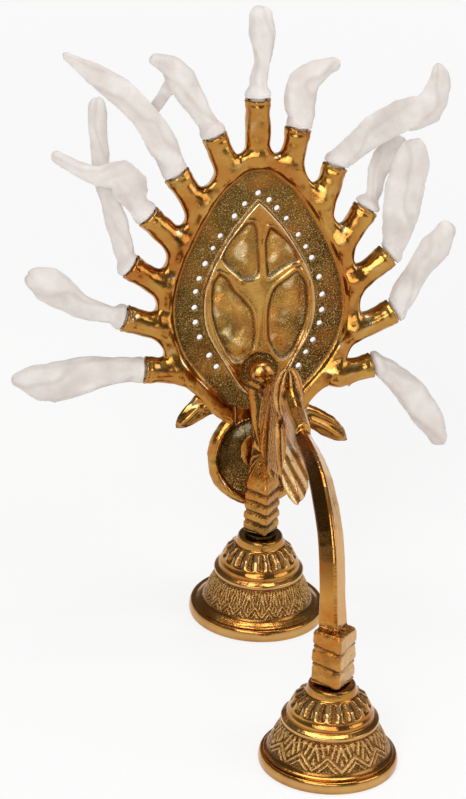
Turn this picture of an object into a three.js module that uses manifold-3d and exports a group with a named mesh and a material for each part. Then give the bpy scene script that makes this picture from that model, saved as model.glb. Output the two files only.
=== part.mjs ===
// Aarti lamp: a leaning cast fan plate with thirteen wick spouts, carried by an arched
// handle that stands on two bell feet. Millimetres, +Z up, plate facing -Y.
import * as THREE from "three";
import { mergeVertices } from "three/addons/utils/BufferGeometryUtils.js";
import Module from "manifold-3d";

const wasm = await Module();
wasm.setup();

// Clearances
const GAP = 0.3;
const CUT = 5;

// Feet
const FOOT_SPAN = 100;
const FLANGE_RADIUS = 22.5;
const FLANGE_HEIGHT = 3.8;
const FLANGE_TAPER = 0.6;
const RIM_WIDTH = 2.6;
const FOOT_WALL = 2.2;
const BAND_BOTTOM = 5.3;
const BAND_TOP = 14.7;
const RING_HEIGHT = 2.6;
const SHOULDER_BOTTOM = 20.2;
const SHOULDER_TOP = 25.8;
const COLLAR_TOP = 28.6;
const FLUTES = 18;
const FLUTE_DEPTH = 0.9;
const REAR_WAIST = { bandFoot: 17.6, bandTop: 14.0, ring: 14.8, upperRing: 13.2, collar: 7.9 };
const FRONT_WAIST = { bandFoot: 19.4, bandTop: 14.8, ring: 15.8, upperRing: 14.0, collar: 8.2 };

// Studs, nuts and washers that hold the feet
const STUD_RADIUS = 2.2;
const STUD_BITE_REAR = 6;
const STUD_BITE_FRONT = 14;
const NUT_RADIUS = 4.2;
const NUT_HEIGHT = 3.2;
const WASHER_RADIUS = 5.2;
const WASHER_THICKNESS = 1;
const STUD_TAIL = 1.2;
const FOOT_CEILING = 21.5;

// Handle: square bar on its corner
const REAR_NECK_SIDE = 9.2;
const FRONT_NECK_SIDE = 10.8;
const FRONT_NECK_TOP = 48;
const REAR_NECK_TOP = 45;
const POST_OVER_PEG = 2.1;
const POST_LEAN = 0.11;
const TOP_RISE = 0.5;
const POST_SIDES = [8.8, 7.6, 6.3, 5.9, 6.8, 8.2, 9.4];
const BAR_SIDE = 6.6;
const CORNER_CHAMFER = 0.7;
const RIB_DEPTH = 0.9;
const CREST_FLUTES = 8;
const CREST_FLUTE_SHARE = 0.14;
const FRONT_LEAF_THICKNESS = 3;
const POST_LEAF_THICKNESS = 7;

// Fan plate, in its own leaning frame: x across, n through the plate (front is -n), w up
const PLATE_LEAN = THREE.MathUtils.degToRad(12.25);
const PLATE_FOOT_Y = -3.85;
const RIM_THICKNESS = 5.2;
const RIM_BAND = 4.4;
const FRONT_RECESS = 1.9;
const RECESS_SLOPE = 2.2;
const BACK_RECESS = 1.0;
const RIM_BEVEL = 1.1;
const RIDGE_WIDTH = 2.2;
const RIDGE_HEIGHT = 1.2;
const HOLE_RADIUS = 1.05;
const HOLE_OFFSET = 3;

// Spouts
const MOUTH_RADIUS = 4.7;
const THROAT_RADIUS = 4.1;
const ROOT_FLARE = 5.4;
const ROOT_FILLET = 1.1;
const BORE_RADIUS = 3.2;
const BORE_DEPTH = 9;
const WICK_ROOT_RADIUS = 2.7;
const SPOUT_SIDES = 10;
const WICK_SIDES = 8;

// Dish under the fan, with its middle at w = 0
const DISH_X = -0.3;
const DISH_RADIUS = 17.3;
const DISH_RIM = 4.1;
const DISH_CLEARANCE = 0.65;
const BOSS_W = 2;
const BOSS_RADIUS = 9.5;
const THROAT_HALF = 8.4;

// Peg that joins the fan to the head of the post, and the screw that holds the dish
const PEG_RADIUS = 4.1;
const PEG_W = 29.3;
const PEG_REACH = 8.6;
const TENON_RADIUS = 2.4;
const HEAD_THICKNESS = 1.4;
const SCREW_RADIUS = 1.8;
const SCREW_REACH = 7;
const SCREW_HEAD_RADIUS = 3.6;
const SCREW_HEAD_HEIGHT = 2;

const BRASS = { color: 0xb5822f, roughness: 0.32, metalness: 1 };
const POLISHED_BRASS = { color: 0xc9943c, roughness: 0.2, metalness: 1 };
const STEEL = { color: 0x8f8f8c, roughness: 0.4, metalness: 1 };
const COTTON = { color: 0xded2ca, roughness: 0.95, metalness: 0 };

// Right half of the fan's outline, from its top down to the throat over the dish
const FAN_HALF = [
  [0, 102.3], [5.8, 101.4], [12.6, 96.6], [18.5, 90.4], [26.4, 77], [32.1, 63.4],
  [34.1, 49], [31, 35.5], [25, 26], [18.6, 19], [13.5, 13.5], [7, 11], [0, 10.4],
];

// Right half of the pointed oval ridge round the relief
const OVAL_HALF = [
  [0, 85.8], [4.4, 81], [8.6, 75.8], [12.4, 69.8], [15.6, 63.8], [17.8, 57.6],
  [18.5, 51.4], [17.8, 45], [15.6, 39.4], [12.4, 34], [9.2, 28.4], [5.2, 23], [0, 20],
];

// Steps from hole to hole down each side of the oval, from the hole over its point
const LEFT_HOLE_STEPS = [3.4, 5, 7.6, 4.6, 5.4, 5, 4, 4.8, 4.6, 4.6, 6.6, 4.8];
const RIGHT_HOLE_STEPS = [2.2, 3.8, 4.8, 6.6, 4.8, 4, 6.6, 5.4, 4.8, 4, 5.4, 4.4, 5.2];

// The carved head is placed by hundredths of the span between the feet, forward of the rear foot,
// and by height over the post's top. Its web: y, top, bottom and half width
const WEB = [
  [3, 0.3, -14.5, 3], [-3, 3.1, -21.5, 2.2], [-8, 6.1, -25, 2], [-13, 9.3, -25, 2],
  [-18, 12.3, -23.5, 2.2], [-23, 14.1, -22, 2.6], [-28, 14.1, -20, 3], [-33, 12.3, -18.5, 3],
  [-37.5, 10.9, -15.5, 3], [-42, 10.3, -5.5, 3], [-47, 9.7, 0.5, 2.6],
];

// The fluted double bulb at the crest: y, height and radius
const CREST = [
  [-24.5, 17.9, 1], [-24.5, 16.7, 3], [-24.6, 13.5, 4.6], [-25, 8.5, 5], [-26.4, 4.5, 4.7],
  [-27.6, 2.7, 3.9], [-29.4, 0.9, 4.7], [-31, -3, 5], [-32.4, -7.5, 4.6], [-33.4, -13, 3.6],
  [-34, -18, 2],
];

// The leaf under the front of the head and the leaf on the post: y, height and half width
const FRONT_LEAF = [
  [-39, 4.5, 2.4], [-39.5, -0.5, 3], [-39.6, -6.5, 4], [-40.4, -12.5, 4.8], [-41.8, -15.9, 4.5],
  [-43.4, -19.1, 3.2], [-44.6, -20.9, 1],
];
const POST_LEAF = [
  [-3.5, -4.5, 0.8], [-5, -9, 2.6], [-6.5, -14.5, 3.6], [-8, -20, 3.5], [-9.6, -25, 2.4],
  [-11, -29, 0.7],
];

// The square bar from the head to the front neck: y, height over the post's top and side
const ARCH = [
  [-30, 6.5, 3.6], [-38, 5.5, 3.8], [-44, 4.8, 4.2], [-51, 4.5, 4.9], [-62, 4.3, 5.6],
  [-72, 2, 6.2], [-80.5, -2.8, 6.5], [-87, -8.5, 6.6], [-91.4, -16.5, 6.6], [-94.4, -27.5, 6.6],
];

// Ridges of the leaf relief inside the oval: its middle vein, the two arms and the stem
const VEINS = [
  { width: 2.4, points: [[0.2, 84], [0.8, 72], [1.6, 60]] },
  { width: 4.2, points: [[-14.4, 66], [-7.2, 61], [0.8, 55.4]] },
  { width: 4.2, points: [[14.6, 64.4], [7.6, 60.2], [0.8, 55.4]] },
  { width: 5.2, points: [[0.8, 57.5], [0.5, 47], [0.4, 36]] },
];

// Low domes of the relief's four leaves: centre, half width, half height, slant in degrees
const LOBES = [
  [-6.2, 70.4, 4.4, 8.6, 18], [7.4, 69.4, 4.2, 8.4, -24],
  [-9.6, 48.6, 5, 11, -8], [10.6, 47.6, 5, 11, 8],
];
const LOBE_RISE = 1.1;

// Spouts from the lower left round to the lower right: mouth centre, tilt from upright in
// degrees and length from the mouth to the root in the rim
const SPOUTS = [
  { x: -38.5, w: 31.5, tilt: -84, length: 13 },
  { x: -45, w: 49.6, tilt: -71, length: 15 },
  { x: -42.8, w: 66.9, tilt: -54, length: 15 },
  { x: -36.9, w: 83.4, tilt: -44, length: 15 },
  { x: -27.2, w: 96.8, tilt: -31, length: 14 },
  { x: -14.6, w: 108.8, tilt: -21, length: 14 },
  { x: 0, w: 120.4, tilt: 0, length: 21 },
  { x: 13.6, w: 109.7, tilt: 11, length: 15 },
  { x: 26.1, w: 96.5, tilt: 20, length: 14 },
  { x: 36.1, w: 81.5, tilt: 32, length: 15 },
  { x: 43.7, w: 65.3, tilt: 52, length: 15 },
  { x: 45.3, w: 46.2, tilt: 65, length: 15 },
  { x: 38.4, w: 28.2, tilt: 77, length: 13 },
];

// Wicks, one for each spout: stations x, w from the mouth, depth n and half width
const WICKS = [
  [[-10, 0.4, 0, 4.7], [-21, -0.6, 0, 6.7], [-30, -2.2, 0, 7.8], [-37.6, -1, 0, 5.8], [-43, -0.6, 0, 2.6]],
  [[-7.3, 2.2, 0, 3.3], [-14.6, 5.1, 0, 4.5], [-21, 9.7, 0, 6.1], [-26, 13, 0, 6.2], [-31, 16, 0, 3.6]],
  [[-2.4, 6.9, 0.8, 3.9], [-4, 14.3, 2.4, 4.2], [-6, 21.7, 3.6, 3.4], [-8.2, 29.8, 3.6, 3.3],
    [-9, 39, 3.6, 3.6], [-9.7, 47.4, 3.6, 3.7], [-9.6, 54.4, 3.6, 2.8]],
  [[-4.3, 5, -1.6, 4.4], [-6.6, 10.6, -3.6, 6.6], [-10.8, 15.6, -4.4, 5.8], [-18, 15.8, -4.8, 3.9],
    [-25, 18.8, -4.8, 3.2], [-32, 23.4, -4.8, 2.2]],
  [[-2.6, 5.8, 0, 4.8], [-6, 12.8, -1, 5.6], [-11.6, 21.2, -2, 5.1], [-19.1, 29, -2.6, 4.9],
    [-27.6, 35.4, -3, 3.9], [-37.4, 42.4, -3, 1.8]],
  [[-4, 7.4, 0, 3.9], [-7.6, 13.6, 0.4, 5], [-11, 19.4, 0.8, 5.2], [-15.2, 24.4, 1, 3.6],
    [-20, 26.6, 1, 2.2]],
  [[0.4, 7, 0, 3.6], [1.5, 11.7, 0, 3.1], [2, 17, 0, 3.9], [1.5, 22.5, 0, 4.8], [1.2, 28.6, 0, 4.2]],
  [[0.9, 4.4, 0, 4.9], [0.5, 10.2, 0, 6], [1.8, 15.4, 0, 5.8], [6.2, 18.6, 0, 4.5], [12.6, 21, 0, 3]],
  [[4.6, 5.2, -1.6, 5], [11.6, 11.6, -4.8, 6.1], [20, 17.2, -8, 6.3], [28.6, 19.6, -9.4, 6],
    [32.2, 27.4, -9.4, 4.8], [31.8, 33.6, -9.4, 2.6]],
  [[3.3, 4.6, 1.6, 3.2], [4.8, 10.4, 3, 3.9], [8, 16.4, 3, 4.6], [12.2, 21.2, 3, 3.8]],
  [[2.4, 6.2, -1.6, 4.8], [2.6, 14, -4.4, 6.8], [4, 22.8, -4.8, 7.4], [6.2, 31.4, -4.8, 7],
    [7.6, 38.4, -4.8, 4.4]],
  [[4, 5.8, 0.3, 4.6], [9.2, 13.4, 0.8, 4.7], [14.8, 20.4, 1, 5.6], [18.8, 26.8, 1, 3.6]],
  [[5.4, -2.2, 0, 4.2], [10.8, -7.6, 0, 5.1], [15.6, -13.6, 0, 5.3], [19.8, -20.4, 0, 4.9],
    [23, -27.4, 0, 3.4]],
];

// The sixth wick is folded over, and its free end hangs behind the fifth
const FOLDED_WICK = 5;
const FOLDED_TAIL = [[-12, 20, 1.6, 3.4], [-15.8, 13.6, 3.6, 2.8], [-19.2, 8.4, 5.2, 2.8], [-22.6, 5.4, 5.4, 2.2]];
const TAIL_HALF_THICKNESS = 1.6;
const THIN_WICKS = [2, 3, 4, 8, 9, 10];
const THIN_HALF = 1.9;
const PLUMP_HALF = 3.2;
const WICK_ROUNDNESS = 0.68;

// A closed geometry as a solid for joining and cutting, and back again
function solid(geometry) {
  const bare = geometry.clone();
  bare.deleteAttribute("normal");
  bare.deleteAttribute("uv");
  const merged = mergeVertices(bare, 1e-4);
  return new wasm.Manifold(
    new wasm.Mesh({
      numProp: 3,
      vertProperties: new Float32Array(merged.attributes.position.array),
      triVerts: new Uint32Array(merged.index.array),
    }),
  );
}

function geometryOf(manifold) {
  const mesh = manifold.getMesh();
  const geometry = new THREE.BufferGeometry();
  geometry.setAttribute("position", new THREE.BufferAttribute(mesh.vertProperties, 3));
  geometry.setIndex(new THREE.BufferAttribute(mesh.triVerts, 1));
  return geometry;
}

function join(...geometries) {
  return geometryOf(geometries.map(solid).reduce((sum, next) => sum.add(next)));
}

function cut(geometry, ...tools) {
  return geometryOf(tools.map(solid).reduce((rest, tool) => rest.subtract(tool), solid(geometry)));
}

// A closed skin through rings of the same number of points, capped at both ends
function loft(rings) {
  const sides = rings[0].length;
  const points = rings.flat();
  const first = points.length;
  points.push(centreOf(rings[0]), centreOf(rings[rings.length - 1]));
  const index = [];
  for (let r = 0; r < rings.length - 1; r++) {
    for (let s = 0; s < sides; s++) {
      const a = r * sides + s;
      const b = r * sides + ((s + 1) % sides);
      index.push(a, b, b + sides, a, b + sides, a + sides);
    }
  }
  const last = (rings.length - 1) * sides;
  for (let s = 0; s < sides; s++) {
    const next = (s + 1) % sides;
    index.push(first, next, s, first + 1, last + s, last + next);
  }
  const geometry = new THREE.BufferGeometry().setFromPoints(points);
  geometry.setIndex(volumeOf(points, index) < 0 ? index.reverse() : index);
  return geometry;
}

function centreOf(ring) {
  return ring.reduce((sum, p) => sum.add(p), new THREE.Vector3()).divideScalar(ring.length);
}

function volumeOf(points, index) {
  let volume = 0;
  for (let i = 0; i < index.length; i += 3) {
    const [a, b, c] = [points[index[i]], points[index[i + 1]], points[index[i + 2]]];
    volume += a.dot(b.clone().cross(c)) / 6;
  }
  return volume;
}

// A ring of points round a centre, in the plane of two directions
function ring(centre, across, through, outline) {
  return outline.map(([a, t]) =>
    centre.clone().addScaledVector(across, a).addScaledVector(through, t),
  );
}

function ellipse(halfAcross, halfThrough, sides) {
  return Array.from({ length: sides }, (_, i) => {
    const angle = (2 * Math.PI * i) / sides;
    return [halfAcross * Math.cos(angle), halfThrough * Math.sin(angle)];
  });
}

// A square section standing on its corner, with its corners taken off
function diamond(side, chamfer) {
  const reach = side * Math.SQRT1_2;
  const c = chamfer * Math.SQRT1_2;
  const outline = [];
  for (const [x, y] of [[1, 0], [0, 1], [-1, 0], [0, -1]]) {
    outline.push([x * (reach - c) + y * c, y * (reach - c) - x * c]);
    outline.push([x * (reach - c) - y * c, y * (reach - c) + x * c]);
  }
  return outline;
}

function cylinder(radius, from, to, sides = 16) {
  return new THREE.CylinderGeometry(radius, radius, to - from, sides)
    .rotateX(Math.PI / 2)
    .translate(0, 0, (from + to) / 2);
}

// A cylinder along the plate's n axis, about a point of the plate
function plateCylinder(radius, from, to, x, w, sides = 20) {
  return new THREE.CylinderGeometry(radius, radius, to - from, sides)
    .translate(0, (from + to) / 2, 0)
    .translate(x, 0, w);
}

// A smooth closed outline from its right half, which starts and ends on the middle line
function mirrored(half, count) {
  const left = half.slice(1, -1).reverse().map(([x, w]) => [-x, w]);
  const curve = new THREE.CatmullRomCurve3(
    [...half, ...left].map(([x, w]) => new THREE.Vector3(x, w, 0)), true, "centripetal",
  );
  return curve.getSpacedPoints(count).slice(0, count).map((p) => new THREE.Vector2(p.x, p.y));
}

function offsetOutline(points, distance) {
  const count = points.length;
  return points.map((p, i) => {
    const before = points[(i + count - 1) % count];
    const after = points[(i + 1) % count];
    const tangent = after.clone().sub(before).normalize();
    return p.clone().add(new THREE.Vector2(-tangent.y, tangent.x).multiplyScalar(-distance));
  });
}

// A flat piece of the plate with the outline given, from one depth to another
function slab(points, front, back, bevel = 0) {
  const geometry = new THREE.ExtrudeGeometry(new THREE.Shape(points), {
    depth: back - front - 2 * bevel,
    bevelEnabled: bevel > 0,
    bevelThickness: bevel,
    bevelSize: bevel,
    bevelOffset: -bevel,
    bevelSegments: 2,
    curveSegments: 12,
  });
  return geometry.rotateX(Math.PI / 2).translate(0, back - bevel, 0);
}

// A raised line on the plate, sharp on top, along points of the plate
function raisedLine(points, width, height, floor, closed = false) {
  const rings = [];
  const count = points.length;
  for (let i = 0; i < count; i++) {
    const before = points[closed ? (i + count - 1) % count : Math.max(i - 1, 0)];
    const after = points[closed ? (i + 1) % count : Math.min(i + 1, count - 1)];
    const t = after.clone().sub(before).normalize();
    const across = new THREE.Vector3(-t.y, 0, t.x);
    const taper = closed ? 1 : Math.sin(Math.PI * (0.16 + (0.68 * i) / (count - 1)));
    const centre = new THREE.Vector3(points[i].x, floor, points[i].y);
    const half = (width / 2) * taper;
    rings.push(ring(centre, across, new THREE.Vector3(0, 1, 0), [
      [-half, 0.5], [-half, 0], [-0.25 * half, -height * taper], [0.25 * half, -height * taper],
      [half, 0], [half, 0.5],
    ]));
  }
  return closed ? closedSweep(rings) : loft(rings);
}

function closedSweep(rings) {
  const half = Math.floor(rings.length / 2);
  return join(loft(rings.slice(0, half + 1)), loft([...rings.slice(half), rings[0]]));
}

// One foot: a fluted bell on a broad flange, hollow below, bored for its stud
function foot(waist) {
  const { bandFoot, bandTop, ring: bead, upperRing, collar } = waist;
  const ringTop = BAND_TOP + RING_HEIGHT;
  const profile = [
    [FLANGE_RADIUS, 0, 0],
    [FLANGE_RADIUS - 0.2, FLANGE_HEIGHT * 0.6, 0],
    [FLANGE_RADIUS - 0.2 - FLANGE_TAPER, FLANGE_HEIGHT, 0],
    [bandFoot + 0.8, BAND_BOTTOM - 0.6, 0],
    [bandFoot, BAND_BOTTOM, 0],
    [THREE.MathUtils.lerp(bandFoot, bandTop, 0.45) + 0.2, (BAND_BOTTOM + BAND_TOP) / 2, 0],
    [bandTop, BAND_TOP, 0],
    [bead, BAND_TOP + 0.7, 0],
    [bead - 0.1, ringTop - 0.8, 0],
    [upperRing - 0.2, ringTop, 0],
    [upperRing, ringTop + 1.2, 0],
    [upperRing - 0.8, SHOULDER_BOTTOM - 0.4, 0],
    [upperRing - 1.1, SHOULDER_BOTTOM + 0.6, FLUTE_DEPTH],
    [upperRing - 2.4, SHOULDER_BOTTOM + 3, FLUTE_DEPTH],
    [collar + 0.9, SHOULDER_TOP - 0.7, FLUTE_DEPTH * 0.6],
    [collar, SHOULDER_TOP, 0],
    [collar - 0.9, COLLAR_TOP, 0],
  ];
  const sides = 2 * FLUTES;
  const bell = loft(profile.map(([radius, z, depth]) =>
    Array.from({ length: sides }, (_, i) => {
      const angle = (2 * Math.PI * i) / sides;
      const r = radius - (i % 2 ? 0 : depth);
      return new THREE.Vector3(r * Math.cos(angle), r * Math.sin(angle), z);
    }),
  ));
  const hollow = new THREE.LatheGeometry([
    new THREE.Vector2(0, -CUT),
    new THREE.Vector2(FLANGE_RADIUS - RIM_WIDTH, -CUT),
    new THREE.Vector2(FLANGE_RADIUS - RIM_WIDTH, 1.4),
    new THREE.Vector2(bandFoot - FOOT_WALL, BAND_BOTTOM),
    new THREE.Vector2(bandTop - FOOT_WALL, BAND_TOP),
    new THREE.Vector2(upperRing - FOOT_WALL - 1.5, SHOULDER_BOTTOM),
    new THREE.Vector2(upperRing - FOOT_WALL - 2.8, FOOT_CEILING),
    new THREE.Vector2(0, FOOT_CEILING),
  ], 24).rotateX(Math.PI / 2);
  return cut(bell, hollow, cylinder(STUD_RADIUS + GAP, 0, COLLAR_TOP + CUT));
}

// Levels of the stack under each foot's ceiling, from the washer down to the stud's end
const WASHER_FROM = FOOT_CEILING - GAP - WASHER_THICKNESS;
const NUT_FROM = WASHER_FROM - GAP - NUT_HEIGHT;
const STUD_FROM = NUT_FROM - STUD_TAIL;
const SPACER_FROM = COLLAR_TOP + GAP;
const REAR_NECK_BOTTOM = SPACER_FROM + WASHER_THICKNESS + GAP;
const FRONT_NECK_BOTTOM = COLLAR_TOP + GAP;

// The dish's middle stands so far along the plate that its edge clears the stud below
const STUD_TOP = REAR_NECK_BOTTOM + STUD_BITE_REAR;
const DISH_RISE = (STUD_TOP + DISH_CLEARANCE) / Math.cos(PLATE_LEAN) + DISH_RADIUS;
const POST_TOP = (DISH_RISE + PEG_W) * Math.cos(PLATE_LEAN) + POST_OVER_PEG;

function washer(from) {
  return cut(
    cylinder(WASHER_RADIUS, from, from + WASHER_THICKNESS, 24),
    cylinder(STUD_RADIUS + GAP, from - CUT, from + CUT),
  );
}

function nut() {
  return cut(
    cylinder(NUT_RADIUS, NUT_FROM, NUT_FROM + NUT_HEIGHT, 6),
    cylinder(STUD_RADIUS + GAP, NUT_FROM - CUT, NUT_FROM + NUT_HEIGHT + CUT),
  );
}

// Rings of the handle's square section, square to its path in the middle plane
function barRings(stations) {
  const path = new THREE.CatmullRomCurve3(
    stations.map(([y, z]) => new THREE.Vector3(0, y, z)), false, "centripetal",
  );
  const steps = (stations.length - 1) * 2;
  return Array.from({ length: steps + 1 }, (_, i) => {
    const u = i / steps;
    const at = u * (stations.length - 1);
    const k = Math.min(Math.floor(at), stations.length - 2);
    const side = THREE.MathUtils.lerp(stations[k][2], stations[k + 1][2], at - k);
    const tangent = path.getTangent(u);
    const normal = new THREE.Vector3(0, -tangent.z, tangent.y);
    return ring(path.getPoint(u), new THREE.Vector3(1, 0, 0), normal, diamond(side, CORNER_CHAMFER));
  });
}

// A ribbed square neck, level by level: height, shift back and side of the section
function neckRings(levels, y) {
  return levels.map(([z, side, shift]) =>
    ring(new THREE.Vector3(0, y + shift, z), new THREE.Vector3(1, 0, 0),
      new THREE.Vector3(0, 1, 0), diamond(side, CORNER_CHAMFER)),
  );
}

function ribbedLevels(bottom, top, side, ribs) {
  const pitch = (top - bottom) / ribs;
  const levels = [[bottom, side - 2 * RIB_DEPTH, 0]];
  for (let i = 0; i < ribs; i++) {
    const z = bottom + i * pitch;
    levels.push([z + 0.14 * pitch, side, 0]);
    levels.push([z + 0.86 * pitch, side - 0.2 * RIB_DEPTH, 0]);
    levels.push([z + pitch, side - RIB_DEPTH, 0]);
  }
  return levels;
}

const forward = (share) => (share * FOOT_SPAN) / 100;

// The thin web of the carved head, in sections across X at each y
function web() {
  return loft(WEB.map(([share, over, under, half]) => {
    const y = forward(share);
    const top = POST_TOP + over;
    const bottom = POST_TOP + under;
    const right = [[0.7 * half, top - 1], [half, top - 2.4], [half, bottom + 2.4], [0.6 * half, bottom + 0.6]];
    const left = right.map(([x, z]) => [-x, z]).reverse();
    return [[0, top], ...right, [0, bottom], ...left].map(([x, z]) => new THREE.Vector3(x, y, z));
  }));
}

// The fluted double bulb at the crest, in level sections
function crest() {
  return loft(CREST.map(([share, over, radius]) =>
    Array.from({ length: 2 * CREST_FLUTES }, (_, i) => {
      const angle = (Math.PI * i) / CREST_FLUTES;
      const r = radius * (i % 2 ? 1 - CREST_FLUTE_SHARE : 1);
      return new THREE.Vector3(
        r * Math.cos(angle), forward(share) + r * Math.sin(angle), POST_TOP + over,
      );
    }),
  ));
}

// A carved leaf facing the front, station by station
function leaf(stations, thickness) {
  return loft(stations.map(([share, over, half]) => {
    const deep = thickness / 2;
    const centre = new THREE.Vector3(0, forward(share), POST_TOP + over);
    return ring(centre, new THREE.Vector3(1, 0, 0), new THREE.Vector3(0, -1, 0), [
      [-half, 0], [-0.5 * half, 0.5 * deep], [0, deep], [0.5 * half, 0.5 * deep], [half, 0],
      [0.6 * half, -deep], [-0.6 * half, -deep],
    ]);
  }));
}

function handle(plateMatrix) {
  const frontY = -FOOT_SPAN;
  const postY = (z) => (z - REAR_NECK_TOP) * POST_LEAN;
  const rearNeck = neckRings(ribbedLevels(REAR_NECK_BOTTOM, REAR_NECK_TOP, REAR_NECK_SIDE, 4), 0);
  const post = POST_SIDES.map((side, i) => {
    const z = THREE.MathUtils.lerp(REAR_NECK_TOP, POST_TOP, i / (POST_SIDES.length - 1));
    return [z, side, postY(z)];
  });
  const frontNeck = neckRings(
    ribbedLevels(FRONT_NECK_BOTTOM, FRONT_NECK_TOP, FRONT_NECK_SIDE, 3), frontY,
  );
  const arch = barRings([
    ...ARCH.map(([share, over, side]) => [forward(share), POST_TOP + over, side]),
    [forward(-96.6), FRONT_NECK_TOP, BAR_SIDE + 0.6],
    [forward(-98.4), FRONT_NECK_TOP - 6, BAR_SIDE],
  ]);
  const postRings = neckRings(post, 0);
  for (const p of postRings[postRings.length - 1]) p.z -= (p.y - postY(POST_TOP)) * TOP_RISE;
  const body = join(
    loft([...rearNeck, ...postRings]),
    loft(frontNeck),
    loft(arch),
    web(),
    crest(),
    leaf(FRONT_LEAF, FRONT_LEAF_THICKNESS),
    leaf(POST_LEAF, POST_LEAF_THICKNESS),
  );
  const seat = new THREE.BoxGeometry(8 * PEG_RADIUS, 40, 60)
    .translate(0, 20 - RIM_THICKNESS / 2 - GAP, 30 - DISH_RADIUS - 2 * GAP)
    .applyMatrix4(plateMatrix);
  const saddle = plateCylinder(PEG_RADIUS + GAP, -PEG_REACH - GAP, CUT, 0, PEG_W, 24)
    .applyMatrix4(plateMatrix);
  const screwHole = plateCylinder(SCREW_RADIUS + GAP, -SCREW_REACH - GAP, CUT, 0, BOSS_W, 16)
    .applyMatrix4(plateMatrix);
  const rearBore = cylinder(STUD_RADIUS + GAP, 0, REAR_NECK_BOTTOM + STUD_BITE_REAR + GAP);
  const frontBore = cylinder(STUD_RADIUS + GAP, 0, FRONT_NECK_BOTTOM + STUD_BITE_FRONT + GAP)
    .translate(0, frontY, 0);
  return cut(body, seat, saddle, screwHole, rearBore, frontBore);
}

// The plate's depths: rim faces, the floor of the front recess and of the back one
const RIM_FRONT = -RIM_THICKNESS / 2;
const RIM_BACK = RIM_THICKNESS / 2;
const FLOOR_FRONT = RIM_FRONT + FRONT_RECESS;
const FLOOR_BACK = RIM_BACK - BACK_RECESS;

function spoutAxis(spout) {
  const tilt = THREE.MathUtils.degToRad(spout.tilt);
  return new THREE.Vector3(Math.sin(tilt), 0, Math.cos(tilt));
}

function alongSpout(spout, stations, sides) {
  const axis = spoutAxis(spout);
  const across = new THREE.Vector3(axis.z, 0, -axis.x);
  const through = new THREE.Vector3(0, 1, 0);
  const mouth = new THREE.Vector3(spout.x, 0, spout.w);
  return stations.map(([t, wide, deep]) =>
    ring(mouth.clone().addScaledVector(axis, t), across, through, ellipse(wide, deep, sides)),
  );
}

function spoutBody(spout) {
  const { length } = spout;
  return loft(alongSpout(spout, [
    [-length, ROOT_FLARE, RIM_BACK * 0.6],
    [-length + 1.9, ROOT_FLARE + ROOT_FILLET, RIM_BACK + 0.2],
    [-length + 3.2, ROOT_FLARE, RIM_BACK + 0.9],
    [-length + 4.5, THROAT_RADIUS + 0.4, THROAT_RADIUS - 0.1],
    [-length * 0.46, THROAT_RADIUS, THROAT_RADIUS],
    [-1.4, MOUTH_RADIUS - 0.25, MOUTH_RADIUS - 0.35],
    [-0.4, MOUTH_RADIUS, MOUTH_RADIUS - 0.1],
    [0, MOUTH_RADIUS - 0.3, MOUTH_RADIUS - 0.4],
  ], SPOUT_SIDES));
}

function spoutBore(spout) {
  return loft(alongSpout(spout, [
    [-BORE_DEPTH, BORE_RADIUS, BORE_RADIUS],
    [CUT, BORE_RADIUS, BORE_RADIUS],
  ], SPOUT_SIDES));
}

// A pointed leaf beside the throat, from its base inside the fan to its tip
function petal(baseX, baseW, tipX, tipW) {
  const half = 4.1;
  const base = new THREE.Vector3(baseX, 0, baseW);
  const tip = new THREE.Vector3(tipX, 0, tipW);
  const along = tip.clone().sub(base).normalize();
  const across = new THREE.Vector3(along.z, 0, -along.x);
  const sag = Math.sign(tipX) * 1.2;
  return loft([[0, 0.9], [0.3, 1], [0.6, 0.94], [0.85, 0.6], [1, 0.08]].map(([share, size]) => {
    const centre = base.clone().lerp(tip, share);
    centre.addScaledVector(across, -sag * Math.sin(Math.PI * share));
    return ring(centre, across, new THREE.Vector3(0, 1, 0), ellipse(half * size, 2.1 * size, 8));
  }));
}

function dish() {
  const inner = DISH_RADIUS - DISH_RIM;
  const mid = DISH_RADIUS - DISH_RIM / 2;
  const profile = [
    [0, FLOOR_BACK], [inner, FLOOR_BACK], [inner + 0.8, RIM_BACK - 0.4], [mid, RIM_BACK],
    [DISH_RADIUS - 0.6, RIM_BACK - 0.8], [DISH_RADIUS, 0], [DISH_RADIUS - 0.6, RIM_FRONT + 0.8],
    [mid, RIM_FRONT], [inner + 0.8, RIM_FRONT + 0.6], [inner, FLOOR_FRONT], [0, FLOOR_FRONT],
  ].map(([r, n]) => new THREE.Vector2(r, n));
  const bowl = new THREE.LatheGeometry(profile.reverse(), 30).translate(DISH_X, 0, 0);
  const bossProfile = [
    [0, 0.5], [BOSS_RADIUS, 0.5], [BOSS_RADIUS, FLOOR_FRONT - 0.5],
    [BOSS_RADIUS - 1.2, FLOOR_FRONT - 0.9], [BOSS_RADIUS * 0.6, RIM_FRONT + 0.5], [0, RIM_FRONT + 0.2],
  ].map(([r, n]) => new THREE.Vector2(r, n));
  const boss = new THREE.LatheGeometry(bossProfile.reverse(), 20).translate(0, 0, BOSS_W);
  return { bowl, boss };
}

// The front recess of the fan, whose wall slopes from the rim down to the floor
function slopedRecess(outline) {
  return loft([
    [RIM_FRONT - CUT, RIM_BAND - 0.4], [RIM_FRONT, RIM_BAND - 0.4], [FLOOR_FRONT, RIM_BAND - 0.4 + RECESS_SLOPE],
  ].map(([n, inset]) => offsetOutline(outline, inset).map((p) => new THREE.Vector3(p.x, n, p.y))));
}

// One low leaf dome of the relief, sunk in the floor to its middle
function lobe([x, w, halfWide, halfTall, slant]) {
  return new THREE.SphereGeometry(1, 12, 8)
    .scale(halfWide, LOBE_RISE, halfTall)
    .rotateY(THREE.MathUtils.degToRad(slant))
    .translate(x, FLOOR_FRONT, w);
}

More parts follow.
